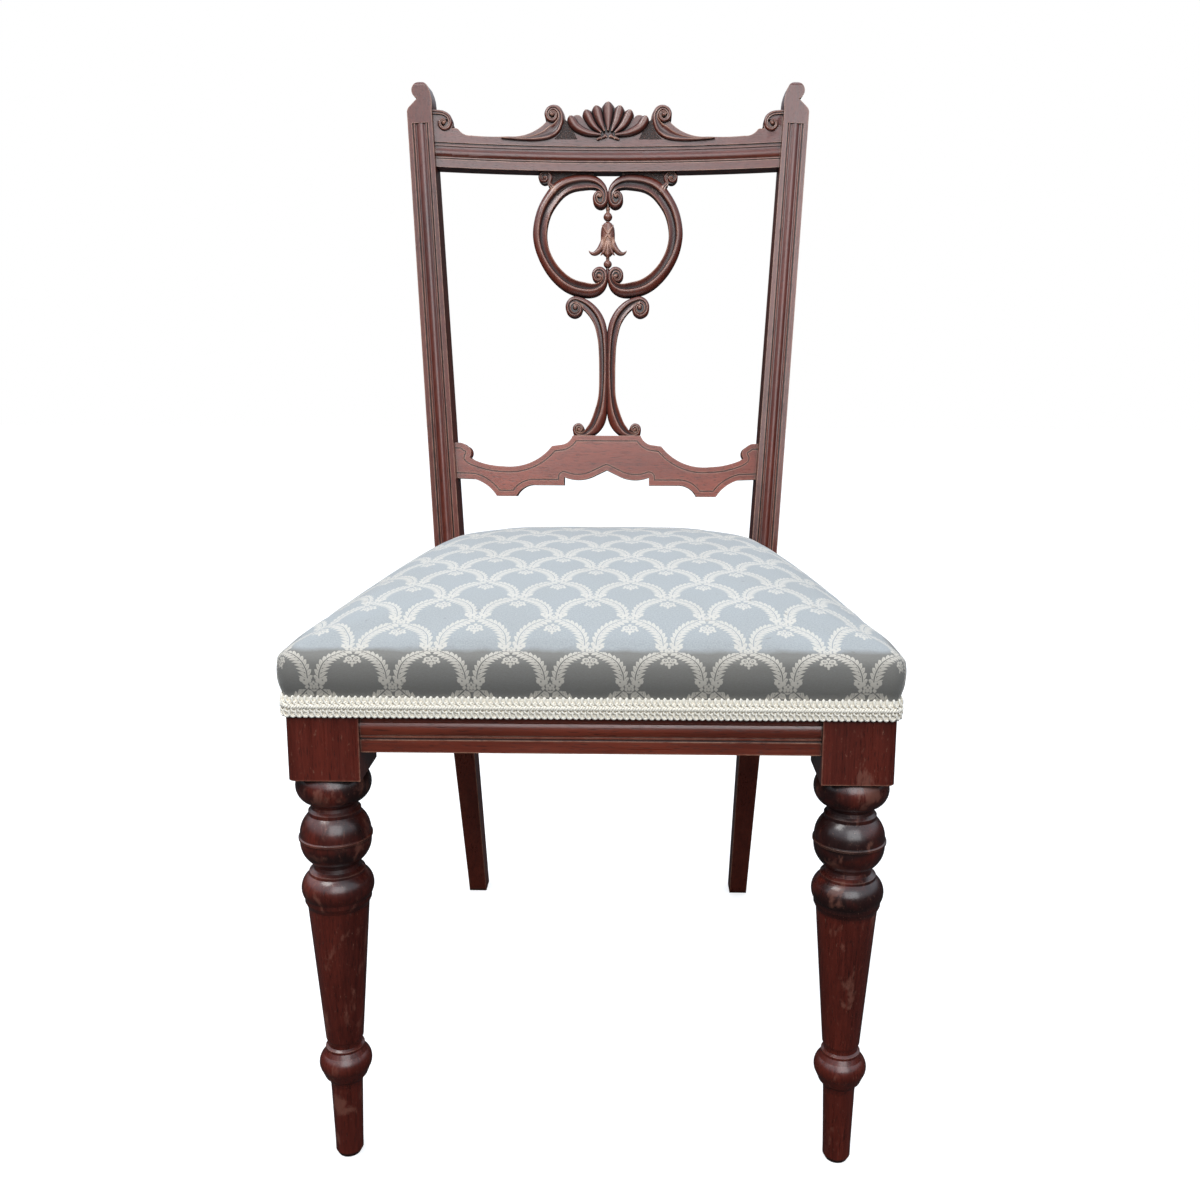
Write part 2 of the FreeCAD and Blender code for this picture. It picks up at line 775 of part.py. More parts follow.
def front_seat_rail():
    """The front rail, moulded where it shows and flush with the leg blocks under the cloth."""
    half = front_leg_half_spacing - block_half
    face = front_face + front_moulding_setback
    back = face + front_rail_thickness
    height = front_moulding_top - rail_bottom
    moulding = shifted(scaled(moulding_shares, moulding_relief, height, rail_bottom), face)
    profile = [(back, rail_bottom)] + moulding + [
        (front_face, front_moulding_top),
        (front_face, rail_top),
        (back, rail_top),
    ]
    rail = slab(closed_wire(profile, side_view), (2 * half, 0, 0))
    rail.translate(FreeCAD.Vector(-half, 0, 0))
    holes = front_rail_dowels(glue_gap)
    return rail.cut(Part.makeCompound(holes + [mirrored(hole) for hole in holes]))


def side_seat_rail():
    """The right side rail, a board that follows the taper of the seat."""
    outline = [
        (frame_front_half, block_half),
        (frame_rear_half, seat_depth),
        (frame_rear_half - rail_thickness, seat_depth),
        (frame_front_half - rail_thickness, block_half),
    ]
    rail = slab(closed_wire(outline, plan_view), (0, 0, rail_top - rail_bottom))
    rail.translate(FreeCAD.Vector(0, 0, rail_bottom))
    middle = side_rail_middle((block_half + seat_depth) / 2)

    def lower_outer(edge):
        point = edge.CenterOfMass
        low = abs(point.z - rail_bottom) < rail_arris
        return low and point.x > middle and edge.Length > 2 * rail_thickness

    rail = cut_rounding(rail, rail_arris, lower_outer)
    return rail.cut(Part.makeCompound(side_front_dowels(glue_gap) + side_rear_dowels(glue_gap)))


def rear_seat_rail(blank):
    """The rear rail between the posts."""
    rail = box(
        (-rear_post_half_spacing, rear_rail_front, rail_bottom),
        (rear_post_half_spacing, rear_rail_back, rail_top))
    rail = rail.cut(blank).cut(mirrored(blank))
    holes = rear_rail_dowels(glue_gap)
    return rail.cut(Part.makeCompound(holes + [mirrored(hole) for hole in holes]))


# Corner blocks and their screws


def block_height_range():
    """The lower and upper faces of the corner blocks."""
    return rail_top - block_drop - block_height, rail_top - block_drop


def side_rail_inner(y):
    """The right side rail's inner face at a place along the seat."""
    return side_rail_middle(y) - rail_thickness / 2


def front_corner_block():
    """The right front block, notched round the leg."""
    low, high = block_height_range()
    leg_inner = front_leg_half_spacing - block_half
    rail_back = front_face + front_moulding_setback + front_rail_thickness
    outline = [
        (leg_inner, rail_back),
        (leg_inner - block_length, rail_back),
        (side_rail_inner(block_half + block_length), block_half + block_length),
        (side_rail_inner(block_half), block_half),
        (leg_inner, block_half),
    ]
    block = slab(closed_wire(outline, plan_view), (0, 0, high - low))
    block.translate(FreeCAD.Vector(0, 0, low))
    return block


def rear_corner_block(blank):
    """The right rear block, fitted to the post."""
    low, high = block_height_range()
    outline = [
        (side_rail_inner(seat_depth), rear_rail_front),
        (side_rail_inner(seat_depth), seat_depth),
        (side_rail_inner(seat_depth - block_length), seat_depth - block_length),
        (post_inner - block_length, rear_rail_front),
    ]
    block = slab(closed_wire(outline, plan_view), (0, 0, high - low))
    block.translate(FreeCAD.Vector(0, 0, low))
    return block.cut(blank)


def screw(head, direction, grow):
    """A countersunk wood screw with its head's top at a point, or with a gap its hole."""
    axis = FreeCAD.Vector(*direction)
    axis.normalize()
    base = FreeCAD.Vector(*head)
    top = screw_head_radius + grow
    cone = Part.makeCone(top, screw_radius + grow, screw_head_height, base, axis)
    shank = Part.makeCylinder(screw_radius + grow, screw_length + grow, base, axis)
    whole = cone.fuse(shank).removeSplitter()
    if grow:
        mouth = Part.makeCylinder(top, overrun, base - axis * overrun, axis)
        return whole.fuse(mouth)
    slot = box(
        (-screw_head_radius - overrun, -screw_slot_width / 2, -overrun),
        (screw_head_radius + overrun, screw_slot_width / 2, screw_slot_depth))
    slot.Placement = FreeCAD.Placement(base, FreeCAD.Rotation(FreeCAD.Vector(0, 0, 1), axis))
    return whole.cut(slot)


def on_chord(start, end, share):
    """A point part of the way from one point to another."""
    return (start[0] + share * (end[0] - start[0]), start[1] + share * (end[1] - start[1]))


def corner_screws(grow):
    """The four screws of the right-hand corner blocks."""
    low, high = block_height_range()
    middle = (low + high) / 2
    leg_inner = front_leg_half_spacing - block_half
    rail_back = front_face + front_moulding_setback + front_rail_thickness
    front_open = (
        (leg_inner - block_length, rail_back),
        (side_rail_inner(block_half + block_length), block_half + block_length),
    )
    rear_open = (
        (post_inner - block_length, rear_rail_front),
        (side_rail_inner(seat_depth - block_length), seat_depth - block_length),
    )
    sunk = screw_slot_depth
    outward = (1, 0, 0)
    places = []
    for chord, toward in ((front_open, (0, -1, 0)), (rear_open, (0, 1, 0))):
        near_rail = on_chord(chord[0], chord[1], (1 - screw_reach_share) / 2)
        near_side = on_chord(chord[1], chord[0], (1 - screw_reach_share) / 2)
        places.append(((near_rail[0], near_rail[1] + sunk * toward[1], middle - block_height / 4), toward))
        places.append(((near_side[0] + sunk, near_side[1], middle + block_height / 4), outward))
    return [screw(head, toward, grow) for head, toward in places]


# Back


def crest_lobe(root, tip, radius):
    """One lobe of the shell: a drop that widens from its root to a round tip."""
    run = math.hypot(tip[0] - root[0], tip[1] - root[1])
    widest = run - radius / 2
    on_tip = radius * math.sin(math.pi / 4)
    profile = [
        (0, 0),
        (shell_root_radius, 0),
        (radius, widest),
        ((on_tip, widest + on_tip), (0, widest + radius)),
    ]
    lobe = Part.Face(closed_wire(profile, front_view)).revolve(
        FreeCAD.Vector(0, 0, 0), FreeCAD.Vector(0, 0, 1), 360)
    lobe.rotate(FreeCAD.Vector(0, 0, 0), FreeCAD.Vector(0, 0, 1), 90)
    turn = math.degrees(math.atan2(tip[0] - root[0], tip[1] - root[1]))
    lobe.rotate(FreeCAD.Vector(0, 0, 0), FreeCAD.Vector(0, 1, 0), turn)
    middle = (root[0] + tip[0]) / 2
    lobe.translate(FreeCAD.Vector(root[0], bow_face(middle) + plate_setback + shell_relief, root[1]))
    return lobe


def crest_shell():
    """The shell in the middle of the crest: radiating lobes and two curls at their root."""
    lobes = []
    for root, tip, radius_share in shell_lobe_shares:
        for side in (1, -1) if tip[0] else (1,):
            at_root = (side * root[0] * shell_half_width, moulding_top + root[1] * crest_rise)
            at_tip = (side * tip[0] * shell_half_width, moulding_top + tip[1] * crest_rise)
            lobes.append(crest_lobe(at_root, at_tip, shell_lobe_radius * radius_share))
    height = moulding_top + shell_curl_rise_share * crest_rise
    for side in (-1, 1):
        centre = FreeCAD.Vector(side * shell_curl_out, bow_face(0) + plate_setback, height)
        lobes.append(Part.makeSphere(shell_curl_radius, centre))
    return together(lobes)


def crest_board():
    """The bowed board of the crest, its moulded section turned about the bow's axis."""
    top = moulding_top + crest_rise
    moulding = scaled(moulding_shares, moulding_relief, crest_moulding_height, crest_bottom)
    moulding = shifted(moulding, bow_radius)
    back = bow_radius + back_rail_thickness
    face = bow_radius + plate_setback
    section = [(back, crest_bottom)] + moulding + [(face, moulding_top), (face, top), (back, top)]
    sweep = 2 * math.degrees(math.asin((crest_half_span + post_width) / bow_radius))
    board = Part.Face(closed_wire(section, front_view)).revolve(
        FreeCAD.Vector(0, 0, 0), FreeCAD.Vector(0, 0, 1), sweep)
    board.rotate(FreeCAD.Vector(0, 0, 0), FreeCAD.Vector(0, 0, 1), 90 - sweep / 2)
    board.translate(bow_axis(0))
    return board


def crest_rail(tenon, splat_mortises):
    """The crest rail: moulding, carved edge, shell and volutes on one bowed board."""
    edge = scaled(crest_edge_shares, crest_half_span, crest_rise, moulding_top)
    far = edge[-1][1][0]
    base = crest_bottom - overrun
    outline = deep_slab(closed_wire(both_halves(edge + [(far, base), (0, base)]), front_view))
    grooves = []
    for place, radius, start in zip(crest_volute_shares, crest_volute_radii, crest_volute_starts):
        x = place[0] * crest_half_span
        height = moulding_top + place[1] * crest_rise
        groove = volute_groove(x, height, bow_face(x) + plate_setback, radius, start)
        grooves += [groove, mirrored(groove)]
    board = crest_board().common(outline).cut(Part.makeCompound(grooves))
    beyond = beyond_post()
    board = together([board, crest_shell()]).cut(beyond).cut(mirrored(beyond))
    return together([board, tenon, mirrored(tenon)]).cut(splat_mortises)


def lower_back_rail(tenon, splat_mortises):
    """The shaped rail over the seat, cut from one bowed board."""
    right = scaled(lower_rail_edge_shares, lower_rail_half_span, lower_rail_height, lower_rail_bottom)
    outline = closed_wire(both_halves(right), front_view)
    low = lower_rail_bottom - overrun
    high = lower_rail_top + overrun
    board = bowed_plate(low, high, 0, back_rail_thickness).common(deep_slab(outline))
    line_outer = deep_slab(outline.makeOffset2D(-incised_inset))
    line_inner = deep_slab(outline.makeOffset2D(-incised_inset - incised_width))
    line = bowed_plate(low, high, -incised_depth, incised_depth).common(line_outer.cut(line_inner))
    board = board.cut(line)
    beyond = beyond_post()
    board = board.cut(beyond).cut(mirrored(beyond))
    return together([board, tenon, mirrored(tenon)]).cut(splat_mortises)


def on_ring(radius, angle):
    """A point about the right-hand C-scroll's centre."""
    turn = math.radians(angle)
    return (ring_axis_out + radius * math.cos(turn), ring_height + radius * math.sin(turn))


def c_scroll():
    """The right-hand C-scroll: a broad band that hooks in to a volute at each end."""
    out = ring_axis_out
    quarter = out * (1 - math.cos(math.pi / 4))
    cusp = ring_height + ring_radius - out
    low_cusp = ring_height - ring_radius + out
    steps = [
        (0, cusp),
        ((quarter, cusp + out - quarter), (out, ring_height + ring_radius)),
        ((out + ring_radius, ring_height), (out, ring_height - ring_radius)),
        ((quarter, low_cusp - out + quarter), (0, low_cusp)),
        (0, lower_volute),
        (
            (lower_volute_radius, lower_volute + lower_volute_radius),
            (2 * lower_volute_radius, lower_volute),
        ),
        on_ring(ring_inner, -ring_neck_angle),
        ((out + ring_inner, ring_height), on_ring(ring_inner, ring_neck_angle)),
        (2 * upper_volute_radius, upper_volute),
        ((upper_volute_radius, upper_volute - upper_volute_radius), (0, upper_volute)),
    ]
    band = carved_prism(closed_wire(steps, front_view), splat_front, splat_back, scroll_bevel)
    cove = ring_cove_share * splat_height
    cove_start = ring_inner + ring_rim_share * splat_height
    cove_middle = (cove_start + cove / 2, splat_front + cove / 2)
    section = [
        (cove_start, splat_front - overrun),
        (cove_start, splat_front),
        (cove_middle, (cove_start + cove, splat_front)),
        (cove_start + cove, splat_front - overrun),
    ]
    cutter = Part.Face(closed_wire(section, plan_view)).revolve(
        FreeCAD.Vector(0, 0, 0), FreeCAD.Vector(0, 1, 0), 2 * ring_neck_angle)
    cutter.rotate(FreeCAD.Vector(0, 0, 0), FreeCAD.Vector(0, 1, 0), -ring_neck_angle)
    cutter.translate(FreeCAD.Vector(out, 0, ring_height))
    grooves = []
    for height, radius, start in (
            (upper_volute, upper_volute_radius, upper_volute_start),
            (lower_volute, lower_volute_radius, lower_volute_start)):
        grooves.append(volute_groove(radius, height, splat_front, radius * volute_eye_share, start))
    return band.cut(cutter).cut(Part.makeCompound(grooves))


def scroll_web():
    """The sunk web between the ring and the crest, and the small volute at its corner."""
    middle = (ring_radius + ring_inner) / 2
    start, half, end = web_ring_angles
    steps = [
        (web_start_share * splat_height, crest_bottom),
        (ear_volute_out, crest_bottom),
        (ear_volute_out - ear_volute_radius, crest_bottom - 2 * ear_volute_radius),
        on_ring(middle, start),
        (on_ring(middle, half), on_ring(middle, end)),
    ]
    front = splat_front + web_setback
    web = slab(closed_wire(steps, front_view), (0, splat_back - front, 0))
    web.translate(FreeCAD.Vector(0, front, 0))
    place = (ear_volute_out, crest_bottom - ear_volute_radius)
    return volute(web, place, ear_volute_radius, splat_front, ear_volute_start)


def splat_stem():
    """One bar of the stem, which curls over in a volute at its head and at its foot."""
    steps = scaled(stem_shares, stem_half_width, stem_height, lower_rail_top)
    bar = carved_prism(closed_wire(steps, front_view), splat_front, splat_back, scroll_bevel)
    for (x_share, v_share, radius_share), start in zip(stem_volute_shares, stem_volute_starts):
        place = (x_share * stem_half_width, lower_rail_top + v_share * stem_height)
        bar = volute(bar, place, radius_share * stem_half_width, splat_front, start)
    return bar.common(box((0, 0, lower_rail_top), (ring_radius, splat_back, ring_height)))


def bell_drop():
    """The bellflower and its beads that hang in the ring."""
    base = ring_height + bell_rise_share * splat_height - bell_height
    steps = scaled(bell_shares, bell_width_share * splat_height, bell_height, base)
    half = slab(closed_wire(steps, front_view), (0, splat_thickness - web_setback, 0))
    bell = both_sides(half)
    front = splat_front + web_setback / 2
    bell.translate(FreeCAD.Vector(0, front, 0))
    bell = bell.makeChamfer(scroll_bevel / 2, [e for e in bell.Edges if e.BoundBox.YMax < front + glue_gap])
    middle = splat_front + splat_thickness / 2
    foot = FreeCAD.Vector(0, middle, lower_volute)
    neck = Part.makeCylinder(drop_neck_share * splat_height, upper_volute - lower_volute, foot)
    above = FreeCAD.Vector(0, middle, ring_height + bead_rise_share * splat_height)
    below = FreeCAD.Vector(0, middle, ring_height - drop_fall_share * splat_height)
    bead = Part.makeSphere(bead_share * splat_height, above)
    drop = Part.makeSphere(drop_share * splat_height, below)
    return [bell, neck, bead, drop]


def splat_tenons(grow):
    """The splat's four tenons, grown by a gap for their mortises."""
    middle = splat_front + splat_thickness / 2
    near = middle - splat_tenon_thickness / 2 - grow
    far = middle + splat_tenon_thickness / 2 + grow
    start, end = (share * splat_height for share in head_tenon_shares)
    upper = box(
        (start - grow, near, crest_bottom - glue_gap),
        (end + grow, far, crest_bottom + splat_tenon_depth + grow))
    start, end = (share * splat_height for share in foot_tenon_shares)
    lower = box(
        (start - grow, near, lower_rail_top - splat_tenon_depth - grow),
        (end + grow, far, lower_rail_top + glue_gap))
    return [upper, mirrored(upper), lower, mirrored(lower)]


def back_splat():
    """The pierced splat: two C-scrolls about a bellflower, on a stem of two bars."""
    scroll = c_scroll()
    web = scroll_web()
    stem = splat_stem()
    pieces = [scroll, web, stem]
    pieces += [mirrored(piece) for piece in pieces]
    whole = together(pieces + bell_drop() + splat_tenons(0))
    fork_low = lower_rail_top + stem_shares[-1][1][1] * stem_height
    fork_high = lower_rail_top + stem_shares[0][1] * stem_height
    half = stem_groove_share * splat_height
    line = [(-half, splat_front), (0, splat_front + scroll_bevel), (half, splat_front)]
    groove = slab(closed_wire(line, plan_view), (0, 0, fork_high - fork_low))
    groove.translate(FreeCAD.Vector(0, 0, fork_low))
    return whole.cut(groove)


# Webbing, base cloth and tacks


def strap_profile(start, end, crossings, over_first):
    """A strap from the side: straight runs that pass over and under the straps it crosses."""
    lower = [(start, 0)]
    step = strap_thickness + strap_layer_gap
    for index, place in enumerate(crossings):
        if (index % 2 == 0) == over_first:
            near = place - strap_width / 2 - strap_ramp / 2
            far = place + strap_width / 2 + strap_ramp / 2
            lower += [(near - strap_ramp / 2, 0), (near + strap_ramp / 2, step)]
            lower += [(far - strap_ramp / 2, step), (far + strap_ramp / 2, 0)]
    lower.append((end, 0))
    upper = [(a, b + strap_thickness) for a, b in reversed(lower)]
    return lower + upper


def long_strap_places():
    """The long straps' distances from the middle."""
    return [(index - (strap_count - 1) / 2) * long_strap_pitch for index in range(strap_count)]


def cross_strap_places():
    """The cross straps' places along the seat."""
    return [cross_strap_first + index * cross_strap_pitch for index in range(strap_count)]


def long_strap_ends():
    """Where every long strap starts and ends."""
    return front_face + strap_end_margin, rear_rail_back - strap_end_margin


def cross_strap_reach(y):
    """How far a cross strap reaches from the middle."""
    return side_rail_middle(y + strap_width / 2) + rail_thickness / 2 - strap_end_margin


def long_straps():
    """The straps from front rail to rear rail."""
    start, end = long_strap_ends()
    straps = []
    for index, x in enumerate(long_strap_places()):
        profile = strap_profile(start, end, cross_strap_places(), index % 2 == 0)
        strap = slab(closed_wire(profile, side_view), (strap_width, 0, 0))
        strap.translate(FreeCAD.Vector(x - strap_width / 2, 0, rail_top))
        straps.append(strap)
    return straps


def cross_straps():
    """The straps from side rail to side rail, woven through the long ones."""
    straps = []
    for index, y in enumerate(cross_strap_places()):
        reach = cross_strap_reach(y)
        profile = strap_profile(-reach, reach, long_strap_places(), index % 2 == 1)
        strap = slab(closed_wire(profile, front_view), (0, strap_width, 0))
        strap.translate(FreeCAD.Vector(0, y - strap_width / 2, rail_top))
        straps.append(strap)
    return straps


def tack_places():
    """Where the tacks go through the straps' ends."""
    start, end = long_strap_ends()
    places = []
    for side in (-1, 1):
        for x in long_strap_places():
            beside = x + side * tack_spacing / 2
            places += [(beside, start + tack_inset), (beside, end - tack_inset)]
        for y in cross_strap_places():
            reach = cross_strap_reach(y) - tack_inset
            beside = y + side * tack_spacing / 2
            places += [(reach, beside), (-reach, beside)]
    return places


def tack(x, y, grow):
    """A cut tack with a square, pointed shank, or with a gap the hole that it fills."""
    top = rail_top + strap_thickness
    half = tack_shank / 2 + grow
    tip = tack_tip / 2
    length = tack_length + grow
    shank = Part.makeWedge(-half, 0, -half, -tip, -tip, half, length, half, tip, tip)
    shank.rotate(FreeCAD.Vector(0, 0, 0), FreeCAD.Vector(1, 0, 0), -90)
    shank.translate(FreeCAD.Vector(x, y, top))
    if grow:
        return shank
    rim = []
    for side in range(tack_sides):
        turn = math.tau * side / tack_sides
        rim.append((tack_head_radius * math.cos(turn), tack_head_radius * math.sin(turn)))
    head = slab(closed_wire(rim, plan_view), (0, 0, tack_head_thickness))
    head.translate(FreeCAD.Vector(x, y, top))
    return shank.fuse(head)


def frame_plan(outset):
    """The seat frame's outline from above, grown by an outset: square round the front legs,
    tapered along the side rails, with soft corners."""
    taper = (frame_front_half - frame_rear_half) / (seat_depth - block_half)
    back = rear_rail_back + outset
    half = frame_front_half + outset
    bend = block_half + outset * (math.hypot(1, taper) - 1) / taper
    back_half = half - taper * (back - bend)
    radius = leg_block_rounding + outset
    corners = [
        (half, front_face - outset, radius),
        (half, bend, frame_bend_radius),
        (back_half, back, radius / 2),
        (-back_half, back, radius / 2),
        (-half, bend, frame_bend_radius),
        (-half, front_face - outset, radius),
    ]
    return rounded_wire(corners, plan_view)


def post_notches(gap, low, high):
    """The two spaces that the posts take out of the seat's rear corners."""
    foot_inner = rear_foot_half_spacing - rear_foot_width / 2
    inner = foot_inner + (post_inner - foot_inner) * cover_bottom / seat_line
    right = box((inner - gap, seat_depth - gap, low), (frame_front_half, heel_back, high))
    return Part.makeCompound([right, mirrored(right)])


def base_cloth():
    """The hessian stretched over the webbing."""
    sheet = slab(frame_plan(-hessian_margin), (0, 0, hessian_thickness))
    sheet.translate(FreeCAD.Vector(0, 0, webbing_top + strap_layer_gap))
    return sheet.cut(post_notches(hessian_margin, rail_bottom, shoulder_height))


# Seat


def cushion_form(inset, bottom):
    """The seat's outer form, or inside the cover when inset: swelling sides under a crown."""
    stand = cover_gap + cover_thickness - inset
    skirt_top = gimp_bottom + gimp_height
    height = cushion_shoulder - skirt_top
    sections = []
    for bulge_share, height_share in cushion_side_shares:
        wire = frame_plan(stand + bulge_share * cushion_bulge)
        wire.translate(FreeCAD.Vector(0, 0, skirt_top + height_share * height))
        sections.append(wire)
    skirt = slab(frame_plan(stand), (0, 0, skirt_top - bottom))
    skirt.translate(FreeCAD.Vector(0, 0, bottom))
    sides = Part.makeLoft(sections, True, False).fuse(skirt)
    depth = rear_rail_back - front_face
    base = cushion_shoulder - inset - crown_rise * crown_shares[0][1]
    arches = []
    for depth_share, rise_share in crown_shares:
        y = front_face + depth_share * depth
        taper = (y - front_face) / (seat_depth - front_face)
        half = frame_front_half + (frame_rear_half - frame_front_half) * taper + 2 * cushion_bulge
        top = cushion_shoulder - inset + rise_share * crown_rise
        profile = [(half, base), ((0, top), (-half, base))]
        wire = closed_wire(profile, front_view)
        wire.translate(FreeCAD.Vector(0, y, 0))
        arches.append(wire)
    crown = Part.makeLoft(arches, True, False)
    limit = slab(frame_plan(stand), (0, 0, 2 * crown_rise))
    limit.translate(FreeCAD.Vector(0, 0, cushion_shoulder - crown_rise))
    return sides.fuse(crown.common(limit)).removeSplitter()


def seat_stuffing():
    """The hair stuffing between the base cloth and the cover."""
    form = cushion_form(cover_thickness, cover_bottom)
    form = form.cut(box((-heel_back, -heel_back, 0), (heel_back, heel_back, stuffing_base)))
    return form.cut(post_notches(post_notch_gap + cover_thickness, rail_bottom, shoulder_height))


def seat_cover():
    """The woven cover: a thin shell over the stuffing and down the rails."""
    outer = cushion_form(0, cover_bottom).cut(post_notches(post_notch_gap, rail_bottom, shoulder_height))
    inner = cushion_form(cover_thickness, cover_bottom - overrun)
    inner = inner.cut(post_notches(post_notch_gap + cover_thickness, rail_top, shoulder_height))
    return outer.cut(inner)


def gimp_braid():
    """The braid round the cover's lower edge, on both sides of the posts."""
    stand = cover_gap + cover_thickness + glue_gap
    outer = slab(frame_plan(stand + gimp_thickness), (0, 0, gimp_height))
    inner = slab(frame_plan(stand), (0, 0, gimp_height))
    band = outer.cut(inner)
    band.translate(FreeCAD.Vector(0, 0, gimp_bottom))
    return band.cut(post_notches(post_notch_gap, 0, shoulder_height))


def save(name, shape):
    """Sets a piece down on the chair's own origin and writes it."""
    placed = shape.copy()
    placed.translate(FreeCAD.Vector(0, -origin_run, 0))
    placed.exportStep("parts/" + name + ".step")


def main():
    """Builds every piece of the chair."""
    os.makedirs("parts", exist_ok=True)

    blank = rear_leg_blank()
    crest_tenon = back_tenons(crest_bottom, moulding_top, 0)
    crest_mortise = back_tenons(crest_bottom, moulding_top, glue_gap)
    low, high = (lower_rail_bottom + share * lower_rail_height for share in lower_tenon_shares)
    lower_tenon = back_tenons(low, high, 0)
    lower_mortise = back_tenons(low, high, glue_gap)
    splat_mortises = Part.makeCompound(splat_tenons(glue_gap))

    leg_holes = front_rail_dowels(glue_gap) + side_front_dowels(glue_gap)
    front = front_leg().cut(Part.makeCompound(leg_holes))
    save("front_leg_right", front)
    save("front_leg_left", mirrored(front))
    rear = rear_leg(blank, crest_mortise, lower_mortise)
    save("rear_leg_right", rear)
    save("rear_leg_left", mirrored(rear))

    screws = corner_screws(0)
    screws += [mirrored(piece) for piece in screws]
    screw_holes = corner_screws(screw_gap)
    screw_holes += [mirrored(hole) for hole in screw_holes]
    tacks = [tack(x, y, 0) for x, y in tack_places()]
    tack_holes = [tack(x, y, tack_gap) for x, y in tack_places()]
    holes = Part.makeCompound(screw_holes + tack_holes)

    save("front_seat_rail", front_seat_rail().cut(holes))
    side = side_seat_rail()
    save("side_seat_rail_right", side.cut(holes))
    save("side_seat_rail_left", mirrored(side).cut(holes))
    save("rear_seat_rail", rear_seat_rail(blank).cut(holes))
    front_block = front_corner_block()
    save("front_corner_block_right", front_block.cut(holes))
    save("front_corner_block_left", mirrored(front_block).cut(holes))
    rear_block = rear_corner_block(blank)
    save("rear_corner_block_right", rear_block.cut(holes))
    save("rear_corner_block_left", mirrored(rear_block).cut(holes))
    save("corner_block_screws", Part.makeCompound(screws))

    front_dowels = front_rail_dowels(0)
    save("front_rail_dowels", Part.makeCompound(front_dowels + [mirrored(d) for d in front_dowels]))
    side_dowels = side_front_dowels(0) + side_rear_dowels(0)
    save("side_rail_dowels", Part.makeCompound(side_dowels + [mirrored(d) for d in side_dowels]))
    rear_dowels = rear_rail_dowels(0)
    save("rear_rail_dowels", Part.makeCompound(rear_dowels + [mirrored(d) for d in rear_dowels]))

    save("crest_rail", lean(crest_rail(crest_tenon, splat_mortises)))
    save("lower_back_rail", lean(lower_back_rail(lower_tenon, splat_mortises)))
    save("back_splat", lean(back_splat()))

    save("long_webbing_straps", Part.makeCompound(long_straps()).cut(Part.makeCompound(tack_holes)))
    save("cross_webbing_straps", Part.makeCompound(cross_straps()).cut(Part.makeCompound(tack_holes)))
    save("webbing_tacks", Part.makeCompound(tacks))
    save("hessian_base_cloth", base_cloth())
    save("seat_stuffing", seat_stuffing())
    save("seat_cover", seat_cover())
    save("gimp_braid", gimp_braid())


main()
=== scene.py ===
import logging
import math
from contextlib import contextmanager
from dataclasses import dataclass, field
from enum import Enum
from functools import reduce
from typing import Iterable, Iterator, Optional, Sequence, Union

import bmesh
import bpy
import numpy as np
from mathutils import Matrix, Vector


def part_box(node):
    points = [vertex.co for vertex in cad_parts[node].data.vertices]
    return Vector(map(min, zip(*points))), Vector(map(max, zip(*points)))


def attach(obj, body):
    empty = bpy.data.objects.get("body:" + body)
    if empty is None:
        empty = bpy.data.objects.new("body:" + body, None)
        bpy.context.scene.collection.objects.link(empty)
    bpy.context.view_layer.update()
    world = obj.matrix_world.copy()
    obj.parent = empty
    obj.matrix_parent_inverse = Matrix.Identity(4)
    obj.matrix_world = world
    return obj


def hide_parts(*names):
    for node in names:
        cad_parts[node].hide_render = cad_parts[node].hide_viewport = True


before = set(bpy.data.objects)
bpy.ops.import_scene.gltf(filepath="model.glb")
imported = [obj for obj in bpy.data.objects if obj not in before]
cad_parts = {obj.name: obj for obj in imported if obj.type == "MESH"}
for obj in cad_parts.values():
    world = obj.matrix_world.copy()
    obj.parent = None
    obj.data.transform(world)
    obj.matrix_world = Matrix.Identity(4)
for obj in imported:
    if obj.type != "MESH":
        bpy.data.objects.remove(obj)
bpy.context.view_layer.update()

log = logging.getLogger("chair")

Colour = tuple[float, float, float]
Socket = bpy.types.NodeSocket
MM = 0.001
SAME_PLACE = 1e-6


class Axis(Enum):
    """The way that grain or threads run, in the chair's own frame."""

    ACROSS = 0
    DEPTH = 1
    UPRIGHT = 2


# Node trees, written as sums


